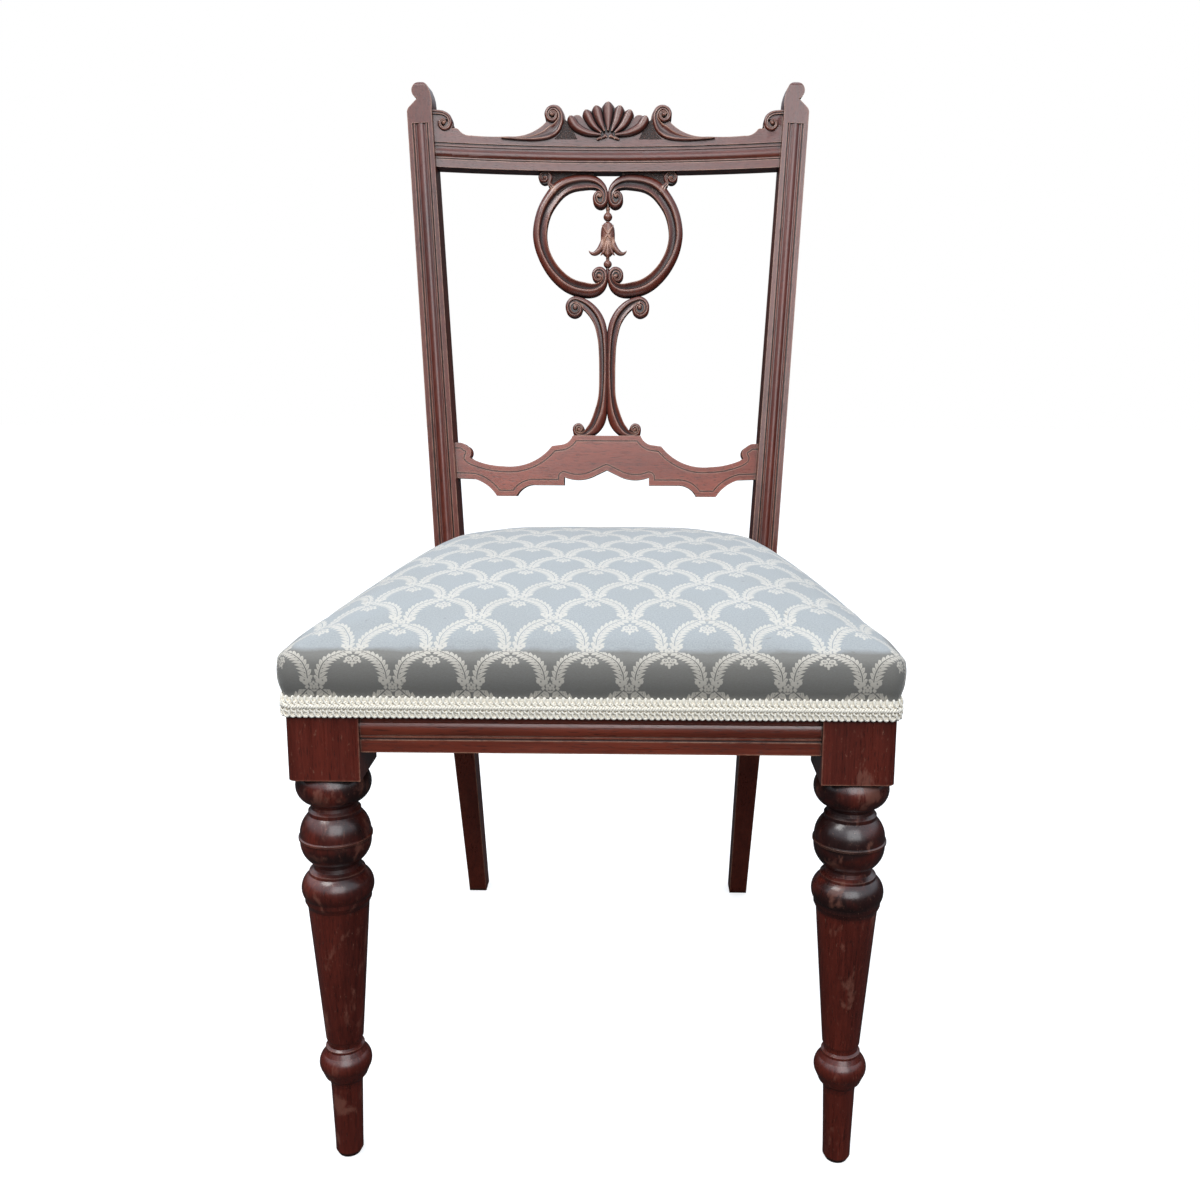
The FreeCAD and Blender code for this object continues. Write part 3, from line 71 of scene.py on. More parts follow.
class Field:
    """A number in a node tree. Sums, products and comparisons of fields add the nodes for them."""

    def __init__(self, tree: "Tree", socket: Socket) -> None:
        """Wraps a socket.

        Args:
            tree: the tree that the socket is in.
            socket: the output that holds the number.
        """
        self.tree = tree
        self.socket = socket

    def then(self, operation: str, *others: "Number") -> "Field":
        """One Math node on this field and others."""
        return self.tree.math(operation, self, *others)

    def hypot(self, other: "Field") -> "Field":
        """The distance that this and another field at right angles make."""
        return (self * self + other * other).then("SQRT")

    def __add__(self, other: "Number") -> "Field":
        """The sum."""
        return self.then("ADD", other)

    def __sub__(self, other: "Number") -> "Field":
        """The difference."""
        return self.then("SUBTRACT", other)

    def __rsub__(self, other: "Number") -> "Field":
        """The difference, from a plain number."""
        return self.tree.math("SUBTRACT", other, self)

    def __mul__(self, other: "Number") -> "Field":
        """The product."""
        return self.then("MULTIPLY", other)

    def __truediv__(self, other: "Number") -> "Field":
        """The quotient."""
        return self.then("DIVIDE", other)

    __radd__ = __add__
    __rmul__ = __mul__

    def abs(self) -> "Field":
        """The size without its sign."""
        return self.then("ABSOLUTE")

    def floor(self) -> "Field":
        """The whole number below."""
        return self.then("FLOOR")

    def fract(self) -> "Field":
        """What is left over the whole number below."""
        return self.then("FRACT")

    def sin(self) -> "Field":
        """The sine."""
        return self.then("SINE")

    def cos(self) -> "Field":
        """The cosine."""
        return self.then("COSINE")

    def most(self, other: "Number") -> "Field":
        """The larger of the two."""
        return self.then("MAXIMUM", other)

    def least(self, other: "Number") -> "Field":
        """The smaller of the two."""
        return self.then("MINIMUM", other)

    def clamped(self) -> "Field":
        """The field kept between 0 and 1."""
        return self.most(0.0).least(1.0)

    def step(self, edge: float, softness: float) -> "Field":
        """0 below the edge and 1 above it, with a soft passage.

        Args:
            edge: the value at the middle of the passage.
            softness: the passage's width.

        Returns:
            The stepped field.
        """
        return ((self - edge) / softness + 0.5).clamped()


Number = Union[Field, Socket, float]


class Tree:
    """Adds nodes to a shader or geometry tree."""

    def __init__(self, tree: bpy.types.NodeTree) -> None:
        """Takes over a tree.

        Args:
            tree: the tree to write.
        """
        self.tree = tree

    def node(self, kind: str, inputs: Optional[dict] = None, **settings: object) -> bpy.types.Node:
        """Adds a node.

        Args:
            kind: the node's type.
            inputs: what each input is linked or set to, by name or number.
            settings: the node's own properties.

        Returns:
            The new node.
        """
        node = self.tree.nodes.new(kind)
        for name, value in settings.items():
            setattr(node, name, value)
        for key, value in (inputs or {}).items():
            if isinstance(value, Field):
                value = value.socket
            if isinstance(value, bpy.types.NodeSocket):
                self.tree.links.new(value, node.inputs[key])
            else:
                node.inputs[key].default_value = value
        return node

    def math(self, operation: str, *values: Number) -> Field:
        """One Math node as a field."""
        return Field(self, self.node("ShaderNodeMath", dict(enumerate(values)), operation=operation).outputs[0])

    def vector(self, operation: str, *values: object, result: int = 0, **inputs: object) -> Socket:
        """One Vector Math node.

        Args:
            operation: the node's operation.
            values: its inputs in order.
            result: which output is wanted.
            inputs: inputs by name.

        Returns:
            The output socket.
        """
        given = dict(enumerate(values)) | inputs
        return self.node("ShaderNodeVectorMath", given, operation=operation).outputs[result]

    def joined(self, x: Number, y: Number, z: Number) -> Socket:
        """A vector from three numbers."""
        return self.node("ShaderNodeCombineXYZ", {0: x, 1: y, 2: z}).outputs[0]

    def split(self, vector: Socket) -> tuple[Field, Field, Field]:
        """A vector's three numbers."""
        node = self.node("ShaderNodeSeparateXYZ", {0: vector})
        return tuple(Field(self, output) for output in node.outputs)


class Paint(Tree):
    """A material's node tree."""

    def __init__(self, name: str) -> None:
        """Starts an empty material.

        Args:
            name: the material's name.
        """
        self.material = bpy.data.materials.new(name)
        self.material.use_nodes = True
        super().__init__(self.material.node_tree)
        self.tree.nodes.clear()
        self.place = self.node("ShaderNodeTexCoord").outputs["Object"]

    def stretched(self, axis: Axis, share: float, seed: float = 0.0) -> Socket:
        """Object coordinates drawn out along an axis.

        Args:
            axis: the way to draw them out.
            share: the scale along that axis, under 1 for long marks.
            seed: a shift that gives each piece its own marks.

        Returns:
            The coordinates.
        """
        scale = [1.0, 1.0, 1.0]
        scale[axis.value] = share
        inputs = {"Vector": self.place, "Location": (seed, seed * 0.7, seed * 1.3), "Scale": scale}
        return self.node("ShaderNodeMapping", inputs).outputs[0]

    def noise(self, at: Socket, scale: float, detail: float = 3.0, rough: float = 0.5, bend: float = 0.0) -> Field:
        """Noise about 0.5.

        Args:
            at: the coordinates.
            scale: marks to a metre.
            detail: how many finer layers.
            rough: how strong the finer layers are.
            bend: distortion.

        Returns:
            The noise as a field.
        """
        inputs = {"Vector": at, "Scale": scale, "Detail": detail, "Roughness": rough, "Distortion": bend}
        return Field(self, self.node("ShaderNodeTexNoise", inputs).outputs[0])

    def blend(self, share: Number, low: object, high: object, way: str = "MIX") -> Socket:
        """Mixes two colours.

        Args:
            share: how much of the second.
            low: the first colour or socket.
            high: the second colour or socket.
            way: the blending mode.

        Returns:
            The mixed colour.
        """
        inputs = {0: share, 6: self.colour(low), 7: self.colour(high)}
        return self.node("ShaderNodeMix", inputs, data_type="RGBA", blend_type=way).outputs[2]

    def colour(self, value: object) -> object:
        """A colour with its alpha, or a socket left as it is."""
        return (*value, 1.0) if isinstance(value, tuple) else value

    def hollow(self, reach: float, inside: bool, samples: int = 8) -> Field:
        """How open the surface is: near 1 on the flat, and less in a hollow or, from inside, at a sharp edge.

        Args:
            reach: how far the test looks, in metres.
            inside: looks into the wood, so that sharp edges are found.
            samples: rays to a point.

        Returns:
            The openness as a field.
        """
        node = self.node(
            "ShaderNodeAmbientOcclusion", {"Distance": reach}, inside=inside, only_local=inside, samples=samples)
        return Field(self, node.outputs["AO"])

    def bump(self, height: Number, depth: float, below: Optional[Socket] = None, strength: float = 1.0) -> Socket:
        """A bump from a height of 0 to 1.

        Args:
            height: the height.
            depth: what 1 stands for, in metres.
            below: the normal that it is added to.
            strength: how much of it counts.

        Returns:
            The normal.
        """
        inputs = {"Height": height, "Distance": depth, "Strength": strength}
        if below is not None:
            inputs["Normal"] = below
        return self.node("ShaderNodeBump", inputs).outputs[0]

    def rounded(self, radius: float) -> Socket:
        """A normal that rounds sharp edges off."""
        return self.node("ShaderNodeBevel", {"Radius": radius}, samples=6).outputs[0]

    def finish(
        self, base: object, rough: Number, normal: Optional[Socket] = None, **fixed: object,
    ) -> bpy.types.Material:
        """Ends the tree in one Principled shader.

        Args:
            base: the base colour.
            rough: the roughness.
            normal: the normal.
            fixed: numbers set on the shader's own sockets, with spaces as underscores.

        Returns:
            The material.
        """
        inputs = {"Base Color": self.colour(base), "Roughness": rough}
        if normal is not None:
            inputs["Normal"] = normal
        inputs |= {name.replace("_", " "): value for name, value in fixed.items()}
        shader = self.node("ShaderNodeBsdfPrincipled", inputs)
        self.node("ShaderNodeOutputMaterial", {"Surface": shader.outputs[0]})
        return self.material


# Finishes


@dataclass(frozen=True)
class PolishedMahogany:
    """Mahogany under old polish, worn light on its edges, with dirt and painted shade in its hollows and painted
    highlights on carved ridges.
    """

    name: str
    grain: Axis
    seed: float = 0.0
    deep: Colour = (0.050, 0.0085, 0.0055)
    warm: Colour = (0.175, 0.033, 0.017)
    rubbed_and_highlight: Colour = (0.44, 0.225, 0.15)
    grime_and_shade: Colour = (0.005, 0.003, 0.003)
    stain: Colour = (0.011, 0.005, 0.005)
    bruise: Colour = (0.25, 0.095, 0.062)
    wear: float = 0.8
    edge: float = 1.6 * MM
    rounding: float = 0.5 * MM
    scuffs: float = 0.0
    gloss: float = 0.25
    stained: tuple[float, float] = (0.0, 0.0)

    def material(self) -> bpy.types.Material:
        """Builds the finish.

        Returns:
            The material.
        """
        paint = Paint(self.name)
        figure = paint.noise(paint.stretched(self.grain, 0.12, self.seed), 26.0, 3.0, 0.55, 0.6)
        lines = paint.noise(paint.stretched(self.grain, 0.025, self.seed), 480.0, 5.0, 0.62, 0.2)
        pores = paint.noise(paint.stretched(self.grain, 0.07, self.seed), 1500.0, 1.0, 0.5)
        cloud = paint.noise(paint.place, 9.0, 2.0, 0.5)
        grain = (figure * 0.55 + lines * 0.45 + cloud * 0.30).step(0.65, 0.42)
        colour = paint.blend(grain, self.deep, self.warm)
        low, high = self.stained
        if high > low:
            _, _, height = paint.split(paint.place)
            band = height.step(low, 10.0 * MM) * (1.0 - height.step(high, 1.0 * MM))
            patch = paint.noise(paint.place, 26.0, 3.0, 0.6, 0.5).step(0.42, 0.24)
            colour = paint.blend(band * patch * 0.88, colour, self.stain)
        pore = pores.step(0.64, 0.10)
        colour = paint.blend(pore * 0.55, colour, self.grime_and_shade)
        rub_noise = paint.noise(paint.place, 90.0, 4.0, 0.65)
        edges = (1.0 - paint.hollow(self.edge, True)).step(0.26, 0.30)
        wear_and_highlight = edges * rub_noise.step(0.42, 0.30) * self.wear
        blotch = paint.noise(paint.stretched(self.grain, 0.45, self.seed + 3.0), 55.0, 6.0, 0.68, 0.4)
        worn = blotch.step(0.60, 0.07) * self.scuffs
        fine = paint.noise(paint.stretched(self.grain, 0.3, self.seed), 520.0, 4.0, 0.75).step(0.66, 0.06)
        colour = paint.blend((worn * 0.42).clamped(), colour, self.bruise)
        colour = paint.blend((fine * (0.06 + 0.26 * self.scuffs)).clamped(), colour, self.rubbed_and_highlight)
        # Painted highlight: carved pieces carry a per-point attribute whose values above 0 lay the light worn colour on
        # their ridges as a bright line, on top of the real edge wear.
        painted_light = Field(paint, paint.node("ShaderNodeAttribute", attribute_name="painted_light").outputs["Fac"])
        wear_and_highlight = wear_and_highlight + painted_light.most(0.0) * (rub_noise.step(0.48, 0.40) * 0.45 + 0.12)
        colour = paint.blend(wear_and_highlight.clamped(), colour, self.rubbed_and_highlight)
        # Painted shade: darkening from ambient occlusion in creases and hollows, and from the carved pieces' attribute
        # below 0, goes towards a near-black colour that stands in for the shade there as well as dirt.
        corner = (1.0 - paint.hollow(1.8 * MM, False)).step(0.38, 0.26)
        shaded_hollow = (1.0 - paint.hollow(7.0 * MM, False)).step(0.45, 0.50).most(corner * 0.92)
        shaded_hollow = (shaded_hollow + (painted_light * -0.92).most(0.0)).clamped()
        colour = paint.blend(shaded_hollow * 0.93, colour, self.grime_and_shade)
        sheen = paint.noise(paint.stretched(self.grain, 0.35, self.seed + 7.0), 30.0, 4.0, 0.6)
        rough = sheen * 0.26 + lines * 0.34 + (self.gloss - 0.22) + worn * 0.22 + wear_and_highlight * 0.12 + shaded_hollow * 0.25
        normal = paint.rounded(self.rounding)
        normal = paint.bump(paint.noise(paint.place, 38.0, 3.0, 0.6), 0.6 * MM, normal, 0.35)
        normal = paint.bump(1.0 - pore, 0.10 * MM, normal, 0.5)
        normal = paint.bump(lines + rub_noise * 0.3, 0.06 * MM, normal, 0.35)
        return paint.finish(colour, rough, normal, Coat_Weight=0.6, Coat_Roughness=0.18)


@dataclass(frozen=True)
class PunchedGround:
    """The dark ground between carvings, matted with a punch."""

    name: str
    pit: Colour = (0.020, 0.009, 0.007)
    stub: Colour = (0.17, 0.080, 0.058)

    def material(self) -> bpy.types.Material:
        """Builds the finish.

        Returns:
            The material.
        """
        paint = Paint(self.name)
        cells = paint.node("ShaderNodeTexVoronoi", {"Vector": paint.place, "Scale": 620.0})
        stub = 1.0 - Field(paint, cells.outputs["Distance"]).step(0.42, 0.28)
        colour = paint.blend(stub * (1.0 - paint.hollow(5.0 * MM, False) * 0.6), self.pit, self.stub)
        normal = paint.bump(stub, 0.35 * MM, paint.rounded(0.3 * MM))
        return paint.finish(colour, 0.55 - stub * 0.18, normal)


@dataclass(frozen=True)
class PlainBeech:
    """Unpolished beech of the hidden blocks and dowels, darkened by age, with dirt and painted shade in its hollows."""

    name: str
    grain: Axis
    pale: Colour = (0.42, 0.27, 0.15)
    brown: Colour = (0.24, 0.135, 0.07)
    dust_and_shade: Colour = (0.05, 0.03, 0.02)

    def material(self) -> bpy.types.Material:
        """Builds the finish.

        Returns:
            The material.
        """
        paint = Paint(self.name)
        lines = paint.noise(paint.stretched(self.grain, 0.04, 1.7), 380.0, 4.0, 0.6)
        flecks = paint.noise(paint.stretched(self.grain, 0.25, 0.4), 1300.0, 1.0).step(0.63, 0.08)
        stain = paint.noise(paint.place, 40.0, 4.0, 0.6)
        colour = paint.blend((lines * 0.6 + stain * 0.5).step(0.56, 0.5), self.pale, self.brown)
        colour = paint.blend(flecks * 0.4, colour, self.brown)
        # Dirt and painted shade: the hollows, found by ambient occlusion, are darkened towards a dark brown.
        shaded_hollow = (1.0 - paint.hollow(9.0 * MM, False)).step(0.6, 0.6)
        colour = paint.blend(shaded_hollow * 0.6, colour, self.dust_and_shade)
        normal = paint.bump(lines, 0.12 * MM, paint.rounded(0.6 * MM), 0.6)
        return paint.finish(colour, 0.62 + lines * 0.15, normal)


@dataclass(frozen=True)
class OldSteel:
    """Steel of the screws and tacks, dulled and a little rusty."""

    name: str
    metal: Colour
    rust: Colour = (0.16, 0.06, 0.03)

    def material(self) -> bpy.types.Material:
        """Builds the finish.

        Returns:
            The material.
        """
        paint = Paint(self.name)
        spots = paint.noise(paint.place, 700.0, 4.0, 0.7)
        turned = paint.noise(paint.place, 2600.0, 2.0)
        rusty = spots.step(0.58, 0.10)
        colour = paint.blend(rusty, self.metal, self.rust)
        normal = paint.bump(turned, 0.05 * MM, paint.rounded(0.2 * MM), 0.5)
        return paint.finish(colour, 0.34 + rusty * 0.4, normal, Metallic=0.85)


@dataclass(frozen=True)
class StrapWeave:
    """Brown jute webbing with a darker line along each edge."""

    name: str
    along: Axis
    across: Axis
    first: float
    pitch: float
    width: float
    jute: Colour = (0.40, 0.29, 0.17)
    dark: Colour = (0.12, 0.065, 0.035)
    warp_pitch: float = 1.7 * MM
    weft_pitch: float = 2.1 * MM

    def material(self) -> bpy.types.Material:
        """Builds the finish.

        Returns:
            The material.
        """
        paint = Paint(self.name)
        place = paint.split(paint.place)
        across = place[self.across.value] - (self.first - self.pitch / 2)
        from_middle = ((across / self.pitch).fract() - 0.5).abs() * self.pitch
        stripe = from_middle.step(self.width * 0.36, 1.2 * MM) * (1.0 - from_middle.step(self.width * 0.43, 1.2 * MM))
        warp = (across * (math.tau / self.warp_pitch)).sin()
        weft = (place[self.along.value] * (math.tau / self.weft_pitch)).sin()
        over = (warp * weft) * 0.5 + 0.5
        fuzz = paint.noise(paint.place, 900.0, 4.0, 0.7)
        colour = paint.blend((fuzz * 0.7 + over * 0.4).step(0.55, 0.7), self.dark, self.jute)
        colour = paint.blend(stripe * 0.75, colour, self.dark)
        normal = paint.bump(over * 0.8 + fuzz * 0.4, 0.5 * MM)
        return paint.finish(colour, 0.9, normal, Sheen_Weight=0.2)


@dataclass(frozen=True)
class Hessian:
    """Open plain weave of coarse jute."""

    name: str
    pale: Colour = (0.44, 0.33, 0.20)
    dark: Colour = (0.10, 0.065, 0.035)
    thread: float = 2.2 * MM

    def material(self) -> bpy.types.Material:
        """Builds the finish.

        Returns:
            The material.
        """
        paint = Paint(self.name)
        wander = paint.noise(paint.place, 60.0, 2.0) * (1.5 * MM)
        x, y, _ = paint.split(paint.place)
        one = ((x + wander) * (math.tau / self.thread)).sin()
        two = ((y + wander) * (math.tau / self.thread)).sin()
        thread = one.most(two) * 0.5 + 0.5
        fuzz = paint.noise(paint.place, 1100.0, 4.0, 0.7)
        colour = paint.blend((thread * 0.8 + fuzz * 0.5).step(0.62, 0.7), self.dark, self.pale)
        normal = paint.bump(thread + fuzz * 0.3, 0.6 * MM)
        return paint.finish(colour, 0.92, normal, Sheen_Weight=0.15)


@dataclass(frozen=True)
class LeafTrellis:
    """Figured upholstery cloth: cream leaf garlands in overlapping arches on blue-grey, darker where it falls down the
    sides, as painted shade.

    It reads the piece's own attribute, which holds the way across and along the flat cloth in metres, and how far it
    has fallen below the top.
    """

    name: str
    attribute: str
    arch_width: float = 58.5 * MM
    arch_pitch: float = 33.5 * MM
    centre_rise: float = 9.0 * MM
    mean_radius: float = 23.5 * MM
    point_rise: float = 4.4 * MM
    point_angle: float = 0.55
    shoulder_swell: float = 1.5 * MM
    end_angle: float = 1.66
    leaf_pitch: float = 4.0 * MM
    leaf_length: float = 4.9 * MM
    leaf_slant: float = 0.75
    ground: Colour = (0.385, 0.41, 0.42)
    ground_dark: Colour = (0.27, 0.29, 0.295)
    shaded: Colour = (0.165, 0.156, 0.138)
    cream: Colour = (0.58, 0.57, 0.53)
    buff_and_shade: Colour = (0.56, 0.52, 0.45)
    soiled: Colour = (0.24, 0.22, 0.18)
    spotted: Colour = (0.16, 0.15, 0.13)

    def dots(self, x: Field, y: Field, *spots: tuple[float, float, float]) -> Field:
        """Soft round spots.

        Args:
            x: the way across.
            y: the way along.
            spots: the middle and the radius of each, in millimetres.

        Returns:
            Their mask.
        """
        masks = [
            1.0 - (x - across * MM).hypot(y - up * MM).step(radius * MM, 0.5 * MM) for across, up, radius in spots]
        return reduce(Field.most, masks)

    def motif(self, u: Field, v: Field) -> Field:
        """The garlands' mask.

        Args:
            u: metres across the cloth.
            v: metres along it, 0 at the foot of a row of arches.

        Returns:
            1 on the garlands and 0 on the ground.
        """
        row = (v / self.arch_pitch).floor()
        rise = v - row * self.arch_pitch
        out = (((u / self.arch_width + row * 0.5).fract() - 0.5) * self.arch_width).abs()
        dy = rise - self.centre_rise
        away = out.hypot(dy)
        turn = out.then("ARCTAN2", dy)
        point = (1.0 - turn / self.point_angle).most(0.0)
        side_swell = (turn - 0.6).most(0.0)
        line = self.mean_radius + point * point * self.point_rise + side_swell * side_swell * self.shoulder_swell
        off = away - line
        side = off.abs()
        outer = off.step(0.0, 0.2 * MM)
        length = self.leaf_length * (1.30 - outer * 0.52)
        along = turn * self.mean_radius + side * self.leaf_slant + outer * (self.leaf_pitch / 2)
        leaf = ((along / self.leaf_pitch).fract() - 0.5).abs() * self.leaf_pitch
        reach = ((side - 0.4 * MM) / length).clamped()
        width = (reach.then("POWER", 0.70) * math.pi).sin().most(0.0) * (self.leaf_pitch * 0.50)
        stem = 1.0 - (side - 0.75 * MM).abs().step(0.30 * MM, 0.1 * MM)
        garland = (width - leaf).step(0.15 * MM, 0.35 * MM) * side.step(0.9 * MM, 0.2 * MM)
        vein = (1.0 - leaf.step(0.16 * MM, 0.25 * MM)) * (1.0 - reach.step(0.7, 0.2))
        garland = (garland * (1.0 - vein * 0.5)).most(stem)
        garland = garland * (1.0 - turn.step(self.end_angle, 0.03))
        curl = self.dots(out, rise, (23.2, 5.0, 2.5), (20.6, 6.2, 1.7), (26.0, 5.6, 1.7))
        curl = curl * (1.0 - self.dots(out, rise, (22.4, 5.8, 0.6)))
        petals = self.dots(out, rise, (3.0, 23.6, 2.6)) * (1.0 - self.dots(out, rise, (2.8, 23.8, 1.2)))
        buds = self.dots(
            out, rise, (0.0, 19.4, 1.5), (0.0, 17.2, 0.9), (2.6, 23.9, 0.6), (5.4, 21.0, 1.2), (2.4, 19.9, 1.0),
            (0.0, 26.8, 1.3), (0.0, 22.0, 0.9))
        foot_x = self.arch_width / 2 - out
        foot = self.dots(foot_x, rise, (0.0, 1.6, 1.3), (2.4, 1.2, 1.1), (0.0, 4.6, 0.8))
        spray_rise = rise + 5.0 * MM
        spray_away = foot_x.hypot(spray_rise)
        ray = ((foot_x.then("ARCTAN2", spray_rise) * 2.2).fract() - 0.5).abs()
        spray = (0.34 - ray).step(0.0, 0.14) * spray_away.step(7.4 * MM, 0.4 * MM)
        spray = spray * (1.0 - spray_away.step(9.4 * MM, 0.6 * MM))
        return reduce(Field.most, (garland, curl, petals, buds, foot, spray))

    def material(self) -> bpy.types.Material:
        """Builds the finish.

        Returns:
            The material.
        """
        paint = Paint(self.name)
        flat = paint.node("ShaderNodeAttribute", attribute_name=self.attribute).outputs["Vector"]
        u, v, fall = paint.split(flat)
        # Painted shade: where the cloth falls down the front and sides, the ground turns to the shaded colour and the
        # cream to a darker cream, for the shade that falls there.
        front = (fall + paint.noise(flat, 60.0, 2.0) * (3.0 * MM)).step(3.6 * MM, 3.0 * MM)
        wander = paint.noise(flat, 160.0, 2.0) * (0.7 * MM) - 0.35 * MM
        motif = self.motif(u + wander, v + wander)
        rib = (v * (math.tau / (0.62 * MM))).sin()
        warp = (u * (math.tau / (0.46 * MM))).sin()
        weave = rib * 0.5 + warp * 0.3 + 0.5
        slub = paint.noise(paint.vector("MULTIPLY", flat, (0.25, 1.0, 1.0)), 2100.0, 2.0, 0.6)
        thread = paint.noise(flat, 1700.0, 2.0, 0.6)
        grit = paint.noise(flat, 900.0, 3.0, 0.75)
        ground = paint.blend((slub * 0.5 + grit * 0.8 + thread * 0.2).step(0.76, 0.42), self.ground_dark, self.ground)
        shaded_ground = paint.blend((slub * 0.8 + thread * 0.4).step(0.62, 0.5) * 0.4, self.shaded, self.ground_dark)
        ground = paint.blend(front, ground, shaded_ground)
        cream = paint.blend((thread * 0.4 + grit * 0.6).step(0.48, 0.4), self.buff_and_shade, self.cream)
        cream = paint.blend(front * 0.7, cream, self.buff_and_shade)
        colour = paint.blend(motif * (0.80 + thread * 0.25).clamped(), ground, cream)
        soil = paint.noise(flat, 14.0, 4.0, 0.6).step(0.60, 0.35)
        colour = paint.blend(soil * 0.12, colour, self.soiled)
        spots = paint.noise(flat, 95.0, 2.0, 0.5).step(0.735, 0.02)
        colour = paint.blend(spots * 0.35, colour, self.spotted)
        height = weave * 0.35 + motif * 0.9 + thread * 0.3
        normal = paint.bump(height, 0.16 * MM, None, 0.8)
        return paint.finish(colour, 0.84 - motif * 0.12, normal, Sheen_Weight=0.25, Sheen_Roughness=0.4)


@dataclass(frozen=True)
class GimpYarn:
    """Cream cotton cord, a little yellowed, with painted shade between the cords."""

    name: str
    pale: Colour = (0.97, 0.93, 0.83)
    shadow: Colour = (0.60, 0.52, 0.38)
    aged: Colour = (0.80, 0.73, 0.58)

    def material(self) -> bpy.types.Material:
        """Builds the finish.

        Returns:
            The material.
        """
        paint = Paint(self.name)
        ply = paint.noise(paint.place, 1900.0, 2.0, 0.6)
        age = paint.noise(paint.place, 30.0, 3.0, 0.6)
        colour = paint.blend(age.step(0.56, 0.4) * 0.25, self.pale, self.aged)
        # Painted shade: the crevices between the cords, found by ambient occlusion, are darkened towards the shadow
        # colour.
        deep = (1.0 - paint.hollow(1.8 * MM, False)).step(0.45, 0.6)
        colour = paint.blend(deep * 0.55, colour, self.shadow)
        normal = paint.bump(ply, 0.2 * MM, None, 0.7)
        return paint.finish(colour, 0.86, normal, Sheen_Weight=0.3)


# Meshes


@contextmanager
def reworked(mesh: bpy.types.Mesh) -> Iterator[bmesh.types.BMesh]:
    """Opens a mesh for editing and writes it back at the end.

    Args:
        mesh: the mesh.

    Yields:
        Its editable form.
    """
    form = bmesh.new()
    form.from_mesh(mesh)
    yield form
    form.to_mesh(mesh)
    form.free()


def piece(name: str, mesh: bpy.types.Mesh) -> bpy.types.Object:
    """A new object in the scene.

    Args:
        name: its name.
        mesh: its mesh.

    Returns:
        The object.
    """
    made = bpy.data.objects.new(name, mesh)
    bpy.context.scene.collection.objects.link(made)
    return made


def mesh_of(name: str, points: Iterable, faces: Iterable, painted_lights: Sequence[float] = ()) -> bpy.types.Object:
    """A new object from points and faces.

    Args:
        name: its name.
        points: the corners.
        faces: the corners' numbers for each face.
        painted_lights: the painted light of each corner, from -1 for painted shade to 1 for a painted highlight.

    Returns:
        The object, with its doubles merged and its faces turned outwards.
    """
    mesh = bpy.data.meshes.new(name)
    mesh.from_pydata([tuple(point) for point in points], [], list(faces))
    if len(painted_lights):
        mesh.attributes.new("painted_light", "FLOAT", "POINT").data.foreach_set("value", np.array(painted_lights, np.float32))
    with reworked(mesh) as form:
        bmesh.ops.remove_doubles(form, verts=form.verts, dist=SAME_PLACE)
        bmesh.ops.recalc_face_normals(form, faces=form.faces)
    return piece(name, mesh)


def tube(rings: int, around: int, first: int = 0) -> list[tuple]:
    """The faces of a closed form through rings of points, with both ends.

    Args:
        rings: how many rings.
        around: how many points to a ring.
        first: the first point's number.

    Returns:
        The points' numbers for each face.
    """
    faces = [
        (low + i, low + (i + 1) % around, low + around + (i + 1) % around, low + around + i)
        for low in range(first, first + (rings - 1) * around, around) for i in range(around)]
    last = first + (rings - 1) * around
    return faces + [tuple(range(first, first + around)), tuple(range(last, last + around))]


def prism(name: str, line: Sequence[Vector], low: float, high: float) -> bpy.types.Object:
    """A new object that fills an outline between two heights."""
    points = [(p.x, p.y, z) for z in (low, high) for p in line]
    return mesh_of(name, points, tube(2, len(line)))


def baked(source: bpy.types.Object) -> bpy.types.Object:
    """Turns an object's live modifiers into its plain mesh.

    Args:
        source: the object.

    Returns:
        The same object, with no modifiers.
    """
    bpy.context.view_layer.update()
    graph = bpy.context.evaluated_depsgraph_get()
    mesh = bpy.data.meshes.new_from_object(source.evaluated_get(graph))
    source.modifiers.clear()
    old = source.data
    source.data = mesh
    bpy.data.meshes.remove(old)
    return source


def smooth(source: bpy.types.Object, angle: float = 180.0) -> bpy.types.Object:
    """Shades an object smooth.

    Args:
        source: the object.
        angle: edges that fold by more than this, in degrees, stay sharp.

    Returns:
        The same object.
    """
    source.data.polygons.foreach_set("use_smooth", [True] * len(source.data.polygons))
    if angle < 180.0:
        source.data.set_sharp_from_angle(angle=math.radians(angle))
    return source


def positions(mesh: bpy.types.Mesh) -> np.ndarray:
    """Reads where a mesh's points are.

    Args:
        mesh: the mesh.

    Returns:
        Rows of x, y and z in metres.
    """
    points = np.zeros(len(mesh.vertices) * 3, np.float32)
    mesh.vertices.foreach_get("co", points)
    return points.reshape(-1, 3).astype(float)


def move_to(mesh: bpy.types.Mesh, points: np.ndarray) -> None:
    """Puts a mesh's points where the rows of an array say."""
    mesh.vertices.foreach_set("co", points.astype(np.float32).ravel())
    mesh.update()


def stands_for(made: bpy.types.Object, finish: bpy.types.Material, slot: str, *nodes: str) -> bpy.types.Object:
    """Dresses a new piece and puts it in the place of CAD nodes.

    Args:
        made: the piece.
        finish: its material.
        slot: the record's slot of that material; it is not used.
        nodes: the nodes that it stands for.

    Returns:
        The piece.
    """
    made.data.materials.clear()
    made.data.materials.append(finish)
    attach(made, "root")
    if nodes:
        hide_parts(*nodes)
    log.info("%s: %d faces", made.name, len(made.data.polygons))
    return made


def dress(node: str, finish: bpy.types.Material) -> None:
    """Gives a CAD node its material.

    Args:
        node: the node's name.
        finish: the material.
    """
    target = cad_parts[node]
    if not target.material_slots:
        target.data.materials.append(finish)
    for slot in target.material_slots:
        slot.material = finish
    log.info("%s: dressed in %s", node, finish.name)


# Sub-assemblies


